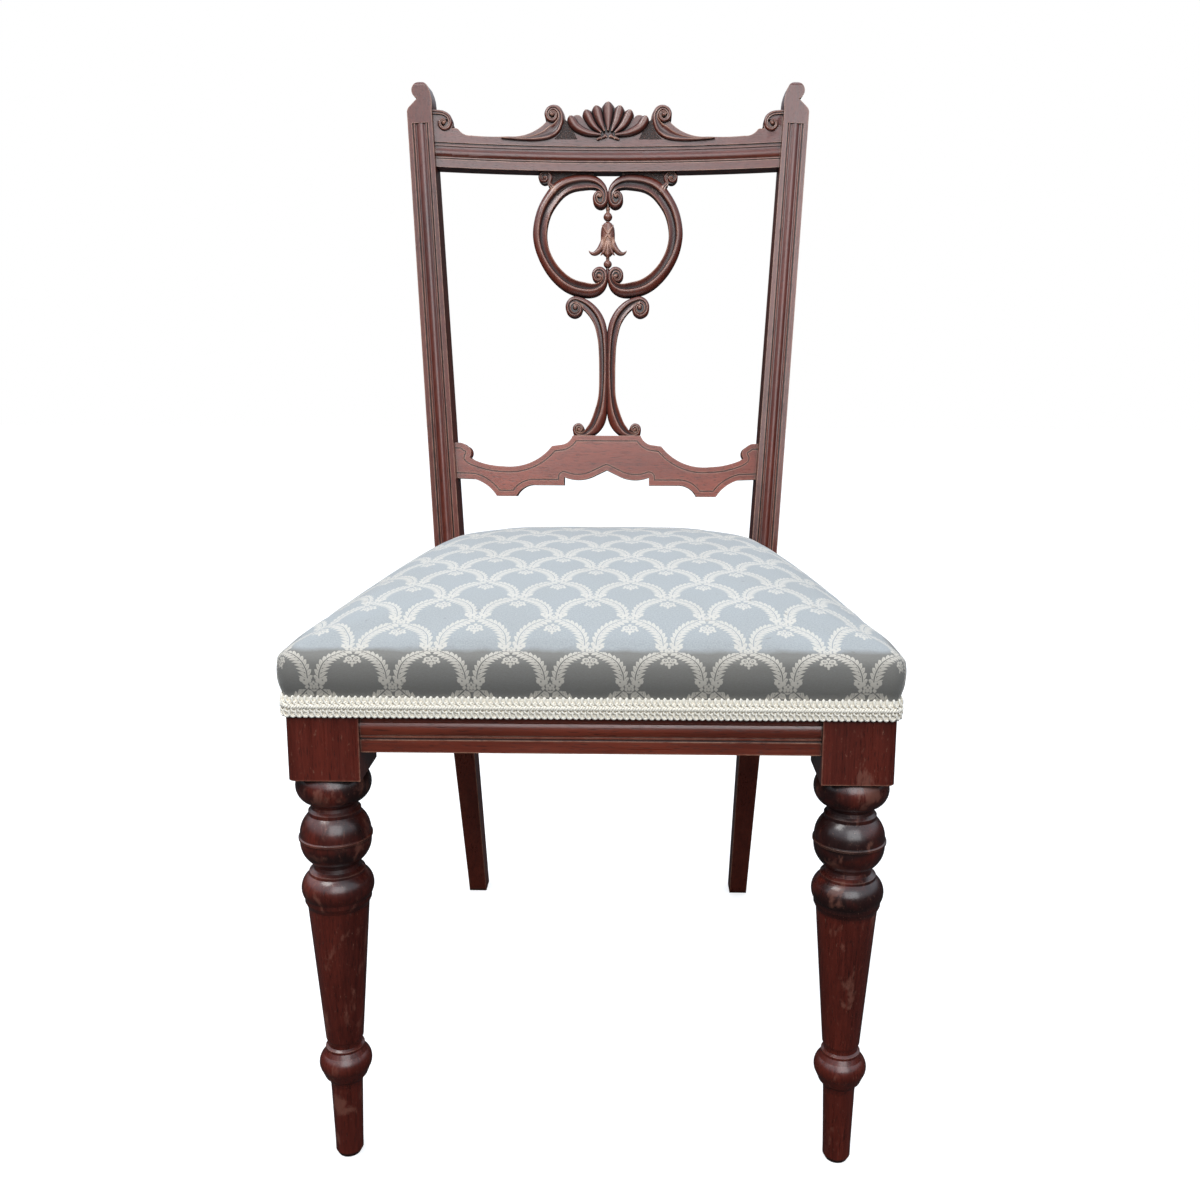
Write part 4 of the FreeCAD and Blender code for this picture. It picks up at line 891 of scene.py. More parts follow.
@dataclass
class SeatPlan:
    """The seat frame's outline from above, from which the cloth, the braid and the webbing take their places."""

    front: float = -264.75 * MM
    bend: float = -208.75 * MM
    back: float = 168.25 * MM
    notch: float = 138.25 * MM
    half_front: float = 230.0 * MM
    half_back: float = 183.75 * MM
    half_back_at: float = 138.25 * MM
    notch_inner: float = 156.6 * MM
    corner: float = 7.0 * MM
    bend_radius: float = 100.0 * MM

    @property
    def taper(self) -> float:
        """How much the half width shrinks for each metre back."""
        return (self.half_front - self.half_back) / (self.half_back_at - self.bend)

    def half(self, y: np.ndarray) -> np.ndarray:
        """The half width at a depth.

        Args:
            y: the depth, a number or an array.

        Returns:
            The half width there.
        """
        return self.half_front - self.taper * np.maximum(y - self.bend, 0.0)

    def right_side(self, outset: float, corner: float) -> list[Vector]:
        """The outline's right half, from the middle of the front to the notch for the post.

        Args:
            outset: how far the outline is grown.
            corner: the front corner's radius before it is grown.

        Returns:
            Its points, a few millimetres apart.
        """
        radius = corner + outset
        side = self.half_front + outset
        front = self.front - outset
        points = [Vector((x, front, 0.0)) for x in np.linspace(0.0, side - radius, 48, endpoint=False)]
        for turn in np.linspace(-math.pi / 2, 0.0, 12, endpoint=False):
            x, y = side - radius + radius * math.cos(turn), front + radius + radius * math.sin(turn)
            points.append(Vector((x, y, 0.0)))
        bend_run = self.bend_radius * math.tan(math.atan(self.taper) / 2)
        for y in np.linspace(front + radius, self.bend - bend_run, 12, endpoint=False):
            points.append(Vector((side, y, 0.0)))
        angle = math.atan(self.taper)
        for turn in np.linspace(0.0, angle, 4, endpoint=False):
            x = side - self.bend_radius * (1.0 - math.cos(turn))
            points.append(Vector((x, self.bend - bend_run + self.bend_radius * math.sin(turn), 0.0)))
        start = self.bend + bend_run
        for y in np.linspace(start, self.notch, 80):
            points.append(Vector((side - self.taper * (y - self.bend), y, 0.0)))
        return points

    def front_run(self, outset: float, corner: float) -> list[Vector]:
        """The outline from the left post round the front to the right post.

        Args:
            outset: how far the outline is grown.
            corner: the front corners' radius.

        Returns:
            Its points in order.
        """
        right = self.right_side(outset, corner)
        left = [Vector((-point.x, point.y, 0.0)) for point in reversed(right[1:])]
        return left + right

    def whole(self, outset: float, corner: float) -> list[Vector]:
        """The closed outline, with the posts' notches.

        Args:
            outset: how far the outline is grown.
            corner: the front corners' radius.

        Returns:
            Its points in order.
        """
        run = self.front_run(outset, corner)
        back = self.back + outset
        inner = self.notch_inner
        tail = [Vector((inner, self.notch, 0.0)), Vector((inner, back, 0.0))]
        tail += [Vector((x, back, 0.0)) for x in np.linspace(inner, -inner, 60)[1:-1]]
        tail += [Vector((-inner, back, 0.0)), Vector((-inner, self.notch, 0.0))]
        return run + tail


def nearest(points: np.ndarray, line: Sequence[Vector], closed: bool) -> tuple[np.ndarray, np.ndarray, np.ndarray]:
    """How far points lie from an outline, and the way out from it.

    Args:
        points: rows of x and y.
        line: the outline, counter-clockwise from above.
        closed: whether its last point joins its first.

    Returns:
        The distances, the outline's outward unit vectors at the nearest places, and those places.
    """
    a = np.array([(p.x, p.y) for p in line])
    b = np.roll(a, -1, axis=0)
    if not closed:
        a, b = a[:-1], b[:-1]
    run = b - a
    length2 = (run ** 2).sum(1)
    keep = length2 > 1e-14
    a, run, length2 = a[keep], run[keep], length2[keep]
    out = np.stack([run[:, 1], -run[:, 0]], 1) / np.sqrt(length2)[:, None]
    far = np.zeros(len(points))
    way = np.zeros((len(points), 2))
    foot = np.zeros((len(points), 2))
    for start in range(0, len(points), 4000):
        part = points[start:start + 4000, None, :] - a[None]
        share = np.clip((part * run[None]).sum(2) / length2[None], 0.0, 1.0)
        gap = np.linalg.norm(part - share[:, :, None] * run[None], axis=2)
        best = gap.argmin(1)
        far[start:start + 4000] = gap[np.arange(len(best)), best]
        way[start:start + 4000] = out[best]
        reach = share[np.arange(len(best)), best]
        foot[start:start + 4000] = a[best] + reach[:, None] * run[best]
    return far, way, foot


@dataclass
class Cushion:
    """The stuffed-over seat: a crowned pad whose cover comes down over the rails to the braid."""

    plan: SeatPlan
    stand: float = 1.5 * MM
    bottom: float = 386.0 * MM
    skirt_top: float = 402.5 * MM
    shoulder: float = 440.0 * MM
    crown: float = 40.0 * MM
    flatness: float = 4.6
    bulge: float = 4.0 * MM
    edge: float = 9.0 * MM
    voxel: float = 6.0 * MM
    thickness: float = 1.2 * MM
    pressure: float = 4.0
    most_swell: float = 4.5 * MM
    crown_places: tuple = (-0.01, 0.06, 0.20, 0.42, 0.66, 0.86, 1.01)
    crown_rises: tuple = (0.02, 0.25, 0.60, 0.92, 1.00, 0.78, 0.46)
    cloth_map: str = "cloth"

    def height(self, x: np.ndarray, y: np.ndarray, inset: np.ndarray) -> np.ndarray:
        """The top's height.

        Args:
            x: across.
            y: front to back.
            inset: distance in from the outline.

        Returns:
            The height of the cloth there.
        """
        depth = self.plan.back - self.plan.front
        share = (y - self.plan.front) / depth
        rise = np.interp(share, self.crown_places, self.crown_rises) * self.crown
        for shift in (0.04, -0.04, 0.08, -0.08):
            rise = rise + np.interp(share + shift, self.crown_places, self.crown_rises) * self.crown
        rise = rise / 5.0 + 1.0 * MM
        half = self.plan.half(y) + 2.0 * self.bulge
        top = self.shoulder - 1.0 * MM + rise * (1.0 - np.minimum(np.abs(x) / half, 1.0) ** self.flatness)
        over = np.clip(1.0 - inset / self.edge, 0.0, 1.0)
        return top - self.edge * (1.0 - np.sqrt(1.0 - over ** 2))

    def side_share(self, place: np.ndarray) -> np.ndarray:
        """How far up the side points lie, from 0 at the skirt's top to 1 at the shoulder."""
        return np.clip((place[:, 2] - self.skirt_top) / (self.shoulder - self.skirt_top), 0.0, 1.0)

    def blank(self) -> bpy.types.Object:
        """The cover's form before it is blown up: skirt, sides and crown, open below.

        Returns:
            The object.
        """
        line = self.plan.whole(self.stand, self.plan.corner)
        low, high = self.bottom - 4.0 * self.voxel, self.shoulder
        made = prism("seat_cover_cloth", line, low, high)
        remesh = made.modifiers.new("close", "REMESH")
        remesh.mode = "VOXEL"
        remesh.voxel_size = self.voxel
        baked(made)
        with reworked(made.data) as form:
            under = [face for face in form.faces if face.calc_center_median().z < self.bottom]
            bmesh.ops.delete(form, geom=under, context="FACES")
        place = positions(made.data)
        inset, way, _ = nearest(place[:, :2], line, True)
        top = self.height(place[:, 0], place[:, 1], inset)
        share = self.side_share(place)
        raised = self.skirt_top + share * (top - self.skirt_top)
        place[:, 2] = np.where(place[:, 2] > self.skirt_top, raised, place[:, 2])
        rim = place[:, 2] < self.bottom + 0.5 * self.voxel
        place[rim, 2] = self.bottom
        swell = self.bulge * 0.6 * np.sin(np.pi * self.side_share(place))
        near = np.exp(-(inset / (6.0 * MM)) ** 2)
        place[:, :2] += way * (swell * near)[:, None]
        move_to(made.data, place)
        return made

    def blow_up(self, made: bpy.types.Object) -> None:
        """Lets the cover swell under pressure, held along the braid, and keeps its moves small.

        Args:
            made: the cover.
        """
        before = positions(made.data)
        held = made.vertex_groups.new(name="held")
        held.add([int(i) for i in np.nonzero(before[:, 2] < self.skirt_top + 1.0 * MM)[0]], 1.0, "REPLACE")
        cloth = made.modifiers.new("swell", "CLOTH")
        cloth.settings.quality = 6
        cloth.settings.mass = 0.3
        cloth.settings.tension_stiffness = 12.0
        cloth.settings.compression_stiffness = 12.0
        cloth.settings.shear_stiffness = 4.0
        cloth.settings.bending_stiffness = 0.4
        cloth.settings.use_pressure = True
        cloth.settings.uniform_pressure_force = self.pressure
        cloth.settings.effector_weights.gravity = 0.0
        cloth.settings.vertex_group_mass = "held"
        cloth.point_cache.frame_start = 1
        cloth.point_cache.frame_end = 20
        scene = bpy.context.scene
        for number in range(1, 21):
            scene.frame_set(number)
        graph = bpy.context.evaluated_depsgraph_get()
        blown = bpy.data.meshes.new_from_object(made.evaluated_get(graph))
        after = positions(blown)
        made.modifiers.clear()
        bpy.data.meshes.remove(blown)
        scene.frame_set(1)
        move = after - before
        size = np.linalg.norm(move, axis=1)
        move *= np.minimum(1.0, self.most_swell / np.maximum(size, 1e-9))[:, None]
        log.info("cover swells by up to %.1f mm", size.max() / MM)
        move_to(made.data, before + move)

    def pull_in(self, made: bpy.types.Object) -> None:
        """Draws the sides back to the line of the rails, with an even swell above the braid.

        Args:
            made: the cover.
        """
        place = positions(made.data)
        line = self.plan.whole(self.stand, self.plan.corner)
        inset, way, foot = nearest(place[:, :2], line, True)
        swell = self.bulge * np.sin(np.pi * self.side_share(place) ** 0.9)
        wanted = foot + way * swell[:, None]
        low = np.clip((self.shoulder + 1.0 * MM - place[:, 2]) / (12.0 * MM), 0.0, 1.0)
        near = np.clip((26.0 * MM - inset) / (10.0 * MM), 0.0, 1.0)
        weight = (low * low * (3.0 - 2.0 * low) * near)[:, None]
        place[:, :2] = place[:, :2] * (1.0 - weight) + wanted * weight
        move_to(made.data, place)

    def map_cloth(self, made: bpy.types.Object) -> None:
        """Writes where each point lies on the flat cloth, as the attribute that the pattern reads.

        Args:
            made: the cover.
        """
        place = positions(made.data)
        line = self.plan.whole(self.stand, self.plan.corner)
        inset, way, _ = nearest(place[:, :2], line, True)
        near = np.clip((30.0 * MM - inset) / (8.0 * MM), 0.0, 1.0)
        drop = np.maximum(self.shoulder - 1.0 * MM - place[:, 2], 0.0) * near
        flat = place[:, :2] + way * drop[:, None]
        flat[:, 1] -= self.plan.front - self.stand
        spots = np.concatenate([flat, drop[:, None]], 1)
        layer = made.data.attributes.new(self.cloth_map, "FLOAT_VECTOR", "POINT")
        layer.data.foreach_set("vector", spots.astype(np.float32).ravel())

    def build(self) -> bpy.types.Object:
        """Builds and dresses the seat.

        Returns:
            The cover.
        """
        made = self.blank()
        self.blow_up(made)
        settle = made.modifiers.new("settle", "SMOOTH")
        settle.factor = 0.5
        settle.iterations = 2
        finer = made.modifiers.new("finer", "SUBSURF")
        finer.levels = 1
        finer.render_levels = 1
        baked(made)
        self.pull_in(made)
        self.map_cloth(made)
        skin = made.modifiers.new("skin", "SOLIDIFY")
        skin.thickness = self.thickness
        skin.offset = -1.0
        smooth(baked(made))
        cloth = LeafTrellis("figured_cloth", self.cloth_map).material()
        stands_for(made, cloth, "woven_cover", "seat_cover", "seat_stuffing")
        return made


@dataclass
class Gimp:
    """The braid over the cover's lower edge: looped cords above and below a plaited middle."""

    plan: SeatPlan
    stand: float = 1.6 * MM
    bottom: float = 385.0 * MM
    height: float = 17.5 * MM
    pitch: float = 4.7 * MM
    cord: float = 0.95 * MM
    ribbon_thickness: float = 0.6 * MM
    steps: int = 11
    sides: int = 5

    def tree(self) -> bpy.types.NodeTree:
        """The Geometry Nodes that lay the cords along a line.

        Returns:
            The tree.
        """
        group = bpy.data.node_groups.new("gimp_cords", "GeometryNodeTree")
        group.interface.new_socket("Line", in_out="INPUT", socket_type="NodeSocketGeometry")
        for name in ("Pitch", "Cord", "Height"):
            group.interface.new_socket(name, in_out="INPUT", socket_type="NodeSocketFloat")
        group.interface.new_socket("Yarn", in_out="INPUT", socket_type="NodeSocketMaterial")
        group.interface.new_socket("Cords", in_out="OUTPUT", socket_type="NodeSocketGeometry")
        tree = Tree(group)
        given = tree.node("NodeGroupInput").outputs
        pitch = Field(tree, given["Pitch"])
        cord = Field(tree, given["Cord"])
        height = Field(tree, given["Height"])
        curve = tree.node("GeometryNodeMeshToCurve", {0: given["Line"]}).outputs[0]
        strands = []
        plans = [
            # rise, reach along, reach up, reach out, turns to a pitch, start, cord share
            (0.30, 0.30, 0.155, 0.10, 1.0, 0.0, 1.0),
            (-0.30, 0.30, 0.155, 0.10, 1.0, math.pi, 1.0),
            (0.155, 0.42, 0.075, 0.16, 1.0, math.pi, 0.85),
            (-0.155, 0.42, 0.075, 0.16, 1.0, 0.0, 0.85),
            (0.0, 0.0, 0.075, 0.18, 0.75, 0.0, 1.0),
            (0.0, 0.0, 0.075, 0.18, 0.75, math.tau / 3.0, 1.0),
            (0.0, 0.0, 0.075, 0.18, 0.75, 2.0 * math.tau / 3.0, 1.0),
        ]
        for rise, along, up, out, turns, start, thick in plans:
            length = pitch / (self.steps * turns)
            run = tree.node("GeometryNodeResampleCurve", {0: curve, "Length": length}, mode="LENGTH").outputs[0]
            index = Field(tree, tree.node("GeometryNodeInputIndex").outputs[0])
            phase = index * (math.tau / self.steps) + start
            tangent = tree.node("GeometryNodeInputTangent").outputs[0]
            outward = tree.vector("CROSS_PRODUCT", tangent, (0.0, 0.0, 1.0))
            aside = tree.vector("SCALE", tangent, Scale=(phase.sin() * pitch * -along).socket)
            swing, bob = (phase.sin(), phase.cos()) if turns == 1.0 else (phase.cos(), phase.sin())
            forth = tree.vector("SCALE", outward, Scale=(swing * height * (out * 0.35) + cord * 0.9).socket)
            lift = tree.joined(0.0, 0.0, bob * height * up + height * rise)
            shift = tree.vector("ADD", tree.vector("ADD", aside, forth), lift)
            laid = tree.node("GeometryNodeSetPosition", {"Geometry": run, "Offset": shift}).outputs[0]
            section = {"Resolution": self.sides, "Radius": cord * thick}
            ring = tree.node("GeometryNodeCurvePrimitiveCircle", section).outputs[0]
            strands.append(tree.node("GeometryNodeCurveToMesh", {0: laid, 1: ring, "Fill Caps": True}).outputs[0])
        join = tree.node("GeometryNodeJoinGeometry")
        for strand in strands:
            group.links.new(strand, join.inputs[0])
        soft = tree.node("GeometryNodeSetShadeSmooth", {0: join.outputs[0]}).outputs[0]
        whole = tree.node("GeometryNodeRealizeInstances", {0: soft}).outputs[0]
        painted = tree.node("GeometryNodeSetMaterial", {"Geometry": whole, "Material": given["Yarn"]}).outputs[0]
        tree.node("NodeGroupOutput", {0: painted})
        return group

    def length(
        self, name: str, line: Sequence[Vector], group: bpy.types.NodeTree, yarn: bpy.types.Material,
    ) -> bpy.types.Object:
        """One length of braid.

        Args:
            name: the piece's name.
            line: the line that it follows, at half its height.
            group: the tree that lays the cords.
            yarn: their material.

        Returns:
            The piece.
        """
        mesh = bpy.data.meshes.new(name)
        mesh.from_pydata([tuple(p) for p in line], [(i, i + 1) for i in range(len(line) - 1)], [])
        made = piece(name, mesh)
        nodes = made.modifiers.new("cords", "NODES")
        nodes.node_group = group
        values = {"Pitch": self.pitch, "Cord": self.cord, "Height": self.height, "Yarn": yarn}
        for socket in group.interface.items_tree:
            if socket.in_out == "INPUT" and socket.name in values:
                nodes[socket.identifier] = values[socket.name]
        return baked(made)

    def build(self) -> None:
        """Builds and dresses both lengths and the ribbon behind them."""
        group = self.tree()
        yarn = GimpYarn("gimp_yarn").material()
        middle = self.bottom + self.height / 2
        lift = Vector((0.0, 0.0, middle))
        front = [p + lift for p in self.plan.front_run(self.stand, self.plan.corner)]
        back = self.plan.back + self.stand
        inner = self.plan.notch_inner - 1.0 * MM
        rear = [Vector((x, back, middle)) for x in np.linspace(inner, -inner, 60)]
        stands_for(self.length("gimp_front", front, group, yarn), yarn, "gimp", "gimp_braid")
        stands_for(self.length("gimp_rear", rear, group, yarn), yarn, "gimp")
        for name, line in (("gimp_front_ribbon", front), ("gimp_rear_ribbon", rear)):
            stands_for(self.ribbon(name, line), yarn, "gimp")

    def ribbon(self, name: str, line: Sequence[Vector]) -> bpy.types.Object:
        """The flat core that the cords are sewn to.

        Args:
            name: the piece's name.
            line: the line that it follows.

        Returns:
            The piece.
        """
        half = self.height * 0.40
        points = []
        for index, here in enumerate(line):
            before, after = line[max(index - 1, 0)], line[min(index + 1, len(line) - 1)]
            run = (after - before).normalized()
            out = Vector((run.y, -run.x, 0.0)) * self.ribbon_thickness
            up = Vector((0.0, 0.0, half))
            points += [here - up, here + up, here + out + up, here + out - up]
        return mesh_of(name, points, tube(len(line), 4))


@dataclass
class Webbing:
    """Woven straps under the seat, and the hessian that lies on them."""

    plan: SeatPlan
    rail_top: float = 414.0 * MM
    width: float = 50.0 * MM
    thick: float = 1.2 * MM
    gap: float = 0.1 * MM
    ramp: float = 9.0 * MM
    long_places: tuple = (-126.0 * MM, -42.0 * MM, 42.0 * MM, 126.0 * MM)
    cross_first: float = -174.75 * MM
    cross_pitch: float = 86.0 * MM
    margin: float = 5.0 * MM
    selvage: float = 1.2 * MM
    cloth_margin: float = 4.0 * MM

    def profile(
        self, start: float, end: float, crossings: Sequence[float], over_first: bool,
    ) -> list[tuple[float, float]]:
        """A strap's lower line from the side.

        Args:
            start: where it starts.
            end: where it ends.
            crossings: the middles of the straps that it crosses.
            over_first: whether it passes over the first of them.

        Returns:
            Pairs of run and height above the rail.
        """
        step = self.thick + self.gap
        line = []
        for run in np.linspace(start, end, 260):
            rise = 0.0
            for index, place in enumerate(crossings):
                if (index % 2 == 0) == over_first:
                    away = abs(run - place) - (self.width / 2 + self.ramp / 2)
                    share = min(max(0.5 - away / self.ramp, 0.0), 1.0)
                    rise = max(rise, step * share * share * (3.0 - 2.0 * share))
            line.append((float(run), rise))
        return line

    def strap(self, line: Sequence[tuple[float, float]], middle: float, along: Axis, first: int) -> tuple[list, list]:
        """A strap's points and faces, with slightly thinner edges.

        Args:
            line: its lower line.
            middle: its middle line's place across.
            along: the way that it runs.
            first: the number that its first point takes.

        Returns:
            The points and the faces.
        """
        half, inner = self.width / 2, self.width / 2 - self.selvage
        section = [(-half, 0.35), (-inner, 0.0), (inner, 0.0), (half, 0.35),
                   (half, 0.65), (inner, 1.0), (-inner, 1.0), (-half, 0.65)]
        points = []
        for run, rise in line:
            for aside, share in section:
                z = self.rail_top + rise + share * self.thick
                spot = (middle + aside, run, z) if along is Axis.DEPTH else (run, middle + aside, z)
                points.append(spot)
        return points, tube(len(line), len(section), first)

    def straps(self, name: str, lines: Sequence, along: Axis) -> bpy.types.Object:
        """All straps that run one way, as one piece.

        Args:
            name: the piece's name.
            lines: each strap's lower line and its place across.
            along: the way that they run.

        Returns:
            The piece.
        """
        points, faces = [], []
        for line, middle in lines:
            more, sides = self.strap(line, middle, along, len(points))
            points += more
            faces += sides
        return smooth(mesh_of(name, points, faces), 40.0)

    def build(self) -> None:
        """Builds and dresses the straps and the base cloth."""
        crossings = [self.cross_first + i * self.cross_pitch for i in range(4)]
        start, end = self.plan.front + self.margin, self.plan.back - self.margin
        lines = [(self.profile(start, end, crossings, i % 2 == 0), x) for i, x in enumerate(self.long_places)]
        long_pitch = self.long_places[1] - self.long_places[0]
        jute = StrapWeave("webbing_long", Axis.DEPTH, Axis.ACROSS, self.long_places[0], long_pitch, self.width)
        stands_for(self.straps("webbing_long", lines, Axis.DEPTH), jute.material(), "webbing", "long_webbing_straps")
        lines = []
        for index, y in enumerate(crossings):
            reach = float(self.plan.half(np.array(y + self.width / 2))) - self.margin
            lines.append((self.profile(-reach, reach, self.long_places, index % 2 == 1), y))
        jute = StrapWeave("webbing_cross", Axis.ACROSS, Axis.DEPTH, self.cross_first, self.cross_pitch, self.width)
        stands_for(self.straps("webbing_cross", lines, Axis.ACROSS), jute.material(), "webbing", "cross_webbing_straps")
        self.hessian()

    def hessian(self) -> None:
        """Builds and dresses the base cloth."""
        low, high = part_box("hessian_base_cloth")
        inner = self.plan.notch_inner - self.cloth_margin
        notch = self.plan.notch
        line = []
        for p in self.plan.whole(-self.cloth_margin, self.plan.corner):
            x = math.copysign(min(abs(p.x), inner), p.x) if p.y >= notch - SAME_PLACE else p.x
            y = min(p.y, high.y if abs(x) < inner + SAME_PLACE else notch - self.cloth_margin)
            line.append(Vector((x, y, 0.0)))
        made = prism("base_cloth", line, low.z, high.z)
        stands_for(made, Hessian("hessian_weave").material(), "hessian", "hessian_base_cloth")


def flowing(stops: Sequence[Sequence[float]], pitch: float) -> np.ndarray:
    """A smooth line through its stops.

    Args:
        stops: rows that start with a place on the face, with widths after it.
        pitch: the longest step in millimetres.

    Returns:
        The line's rows.
    """
    rows = np.array(stops, float)
    rows = np.vstack([2.0 * rows[0] - rows[1], rows, 2.0 * rows[-1] - rows[-2]])
    line = []
    for before, start, end, after in zip(rows, rows[1:], rows[2:], rows[3:]):
        steps = max(1, math.ceil(float(np.hypot(*(end - start)[:2])) / pitch))
        for t in np.arange(steps) / steps:
            bend = (2.0 * before - 5.0 * start + 4.0 * end - after) * t * t
            line.append(start + 0.5 * ((end - before) * t + bend + (3.0 * start - before - 3.0 * end + after) * t ** 3))
    return np.array(line + [rows[-2]])


def leftward(line: np.ndarray) -> np.ndarray:
    """Finds the way to the left of travel along a line.

    Args:
        line: rows that start with a place on the face.

    Returns:
        A unit vector for each row.
    """
    run = np.gradient(line[:, :2], axis=0)
    run /= np.maximum(np.linalg.norm(run, axis=1, keepdims=True), 1e-9)
    return np.stack([-run[:, 1], run[:, 0]], 1)


def volute(centre: tuple[float, float], *turns: Sequence[float]) -> list[tuple]:
    """Winds stops round a centre.

    Args:
        centre: the centre on the face.
        turns: an angle in degrees, a radius and two widths for each stop.

    Returns:
        The stops, each a place and two widths.
    """
    return [
        (centre[0] + away * math.cos(math.radians(angle)), centre[1] + away * math.sin(math.radians(angle)), *widths)
        for angle, away, *widths in turns]


@dataclass
class BackFace:
    """Carvings on the raked back, in millimetres across it, up its slope and behind it, built in mirrored pairs."""

    foot: tuple[float, float] = (138.25, 445.0)
    lean: float = 0.1377
    bow: float = 1031.8
    bow_front: float = 24.0

    def __post_init__(self) -> None:
        """Starts with nothing carved."""
        self.points: list[tuple] = []
        self.faces: list[tuple] = []
        self.painted_lights: list[float] = []

    def bowed(self, x: np.ndarray) -> np.ndarray:
        """How far behind the flat face the bowed rails' front lies."""
        return self.bow_front - self.bow + np.sqrt(self.bow ** 2 - np.asarray(x) ** 2)

    def world(self, local: np.ndarray) -> np.ndarray:
        """Puts places on the leaning back into the chair's frame.

        Args:
            local: rows of across, up the slope and behind the face, in millimetres.

        Returns:
            Rows of x, y and z in metres.
        """
        rise = math.sqrt(1.0 - self.lean ** 2)
        x, v, n = local.T
        y = self.foot[0] + self.lean * v + rise * n
        z = self.foot[1] + rise * v - self.lean * n
        return np.stack([x, y, z], 1) * MM

    def local(self, world: np.ndarray) -> np.ndarray:
        """Puts places of the chair's frame onto the leaning back.

        Args:
            world: rows of x, y and z in metres.

        Returns:
            Rows of across, up the slope and behind the face, in millimetres.
        """
        rise = math.sqrt(1.0 - self.lean ** 2)
        x, y, z = (world / MM - (0.0, *self.foot)).T
        return np.stack([x, self.lean * y + rise * z, rise * y - self.lean * z], 1)

    def skin(self, rings: np.ndarray, painted_lights: Sequence[float], mirror: bool = True) -> None:
        """Adds a closed form that runs through rings of points.

        Args:
            rings: the rings, each a row of local points.
            painted_lights: the painted light of each point of a ring, painted shade below 0 and a painted highlight
                above 0.
            mirror: whether its mirror image is added too.
        """
        count, around = rings.shape[:2]
        for side in (1.0, -1.0) if mirror else (1.0,):
            self.faces += tube(count, around, len(self.points))
            self.points.extend(map(tuple, self.world(rings.reshape(-1, 3) * (side, 1.0, 1.0))))
            self.painted_lights.extend(list(painted_lights) * count)

    def sweep(
        self, stops: Sequence, section: Sequence, front: float, back: float, pitch: float = 0.8,
        bowed: bool = False, mirror: bool = True,
    ) -> None:
        """Carves a band along a line.

        Args:
            stops: rows of x, v, width to the left of travel and width to the right.
            section: places across as shares of the widths, with depths as shares of them and the painted light of each.
            front: how far behind the face its ridge lies.
            back: how far behind the face its flat back lies.
            pitch: the longest step.
            bowed: whether both are measured from the bowed rails' front.
            mirror: whether its mirror image is added too.
        """
        line = flowing(stops, pitch)
        left = leftward(line)
        rings = []
        for share, depth, _ in section:
            width = line[:, 2] if share >= 0.0 else line[:, 3]
            spot = line[:, :2] + left * (share * width)[:, None]
            n = np.full(len(line), back) if depth is None else np.minimum(front + depth * width, back - 0.2)
            rings.append(np.column_stack([spot, n + self.bowed(spot[:, 0]) if bowed else n]))
        self.skin(np.stack(rings, 1), [painted_light for _, _, painted_light in section], mirror)

    def slab(
        self, outline: Sequence[tuple[float, float]], front: float, back: float, bowed: bool = False, painted_light: float = 0.0,
    ) -> None:
        """Cuts a flat piece out of a board, with its mirror image.

        Args:
            outline: its corners on the face.
            front: how far behind the face its front lies.
            back: how far behind the face its back lies.
            bowed: whether both are measured from the bowed rails' front.
            painted_light: its painted light, painted shade below 0 and a painted highlight above 0.
        """
        rings = []
        for n in (front, back):
            rows = np.array([(x, v, n) for x, v in outline], float)
            rows[:, 2] += self.bowed(rows[:, 0]) if bowed else 0.0
            rings.append(rows)
        self.skin(np.stack(rings), [painted_light] * len(outline))

    def bead(self, x: float, v: float, radius: float, middle: float, mirror: bool = True) -> None:
        """Turns a ball, as a stack of shrinking sections.

        Args:
            x: its middle across.
            v: its middle up the slope.
            radius: its radius.
            middle: how far behind the face its middle lies.
            mirror: whether its mirror image is added too.
        """
        turns = np.radians(np.linspace(-88.0, 88.0, 15))
        stops = [(x, v + radius * math.sin(turn), radius * math.cos(turn)) for turn in turns]
        self.rod(stops, middle, radius, mirror=mirror)

    def rod(self, stops: Sequence[Sequence[float]], middle: float, deepest: float, mirror: bool = True) -> None:
        """Carves a rounded stalk or leaf.

        Args:
            stops: rows of x, v and half width.
            middle: how far behind the face its middle lies.
            deepest: the most half thickness that it may have.
            mirror: whether its mirror image is added too.
        """
        turns = np.radians(np.arange(0.0, 360.0, 20.0))
        section = [(math.cos(turn), math.sin(turn)) for turn in turns]
        line = flowing(stops, 0.7)
        left = leftward(line)
        width = np.maximum(line[:, 2], 0.05)
        thick = np.minimum(width, deepest)
        rings = [
            np.column_stack([line[:, :2] + left * (across * width)[:, None], middle - deep * thick])
            for across, deep in section]
        # Painted light: the front of each stalk and leaf takes a painted highlight and its sides painted shade.
        self.skin(np.stack(rings, 1), [max(deep, 0.0) * 1.1 - 0.45 for _, deep in section], mirror)

    def done(self, name: str, finish: bpy.types.Material, *nodes: str, angle: float = 42.0) -> bpy.types.Object:
        """Makes one object of everything carved so far.

        Args:
            name: its name.
            finish: its material.
            nodes: the nodes that it stands for.
            angle: from where edges stay sharp.

        Returns:
            The object.
        """
        made = smooth(mesh_of(name, self.points, self.faces, self.painted_lights), angle)
        self.points, self.faces, self.painted_lights = [], [], []
        return stands_for(made, finish, "mahogany", *nodes)


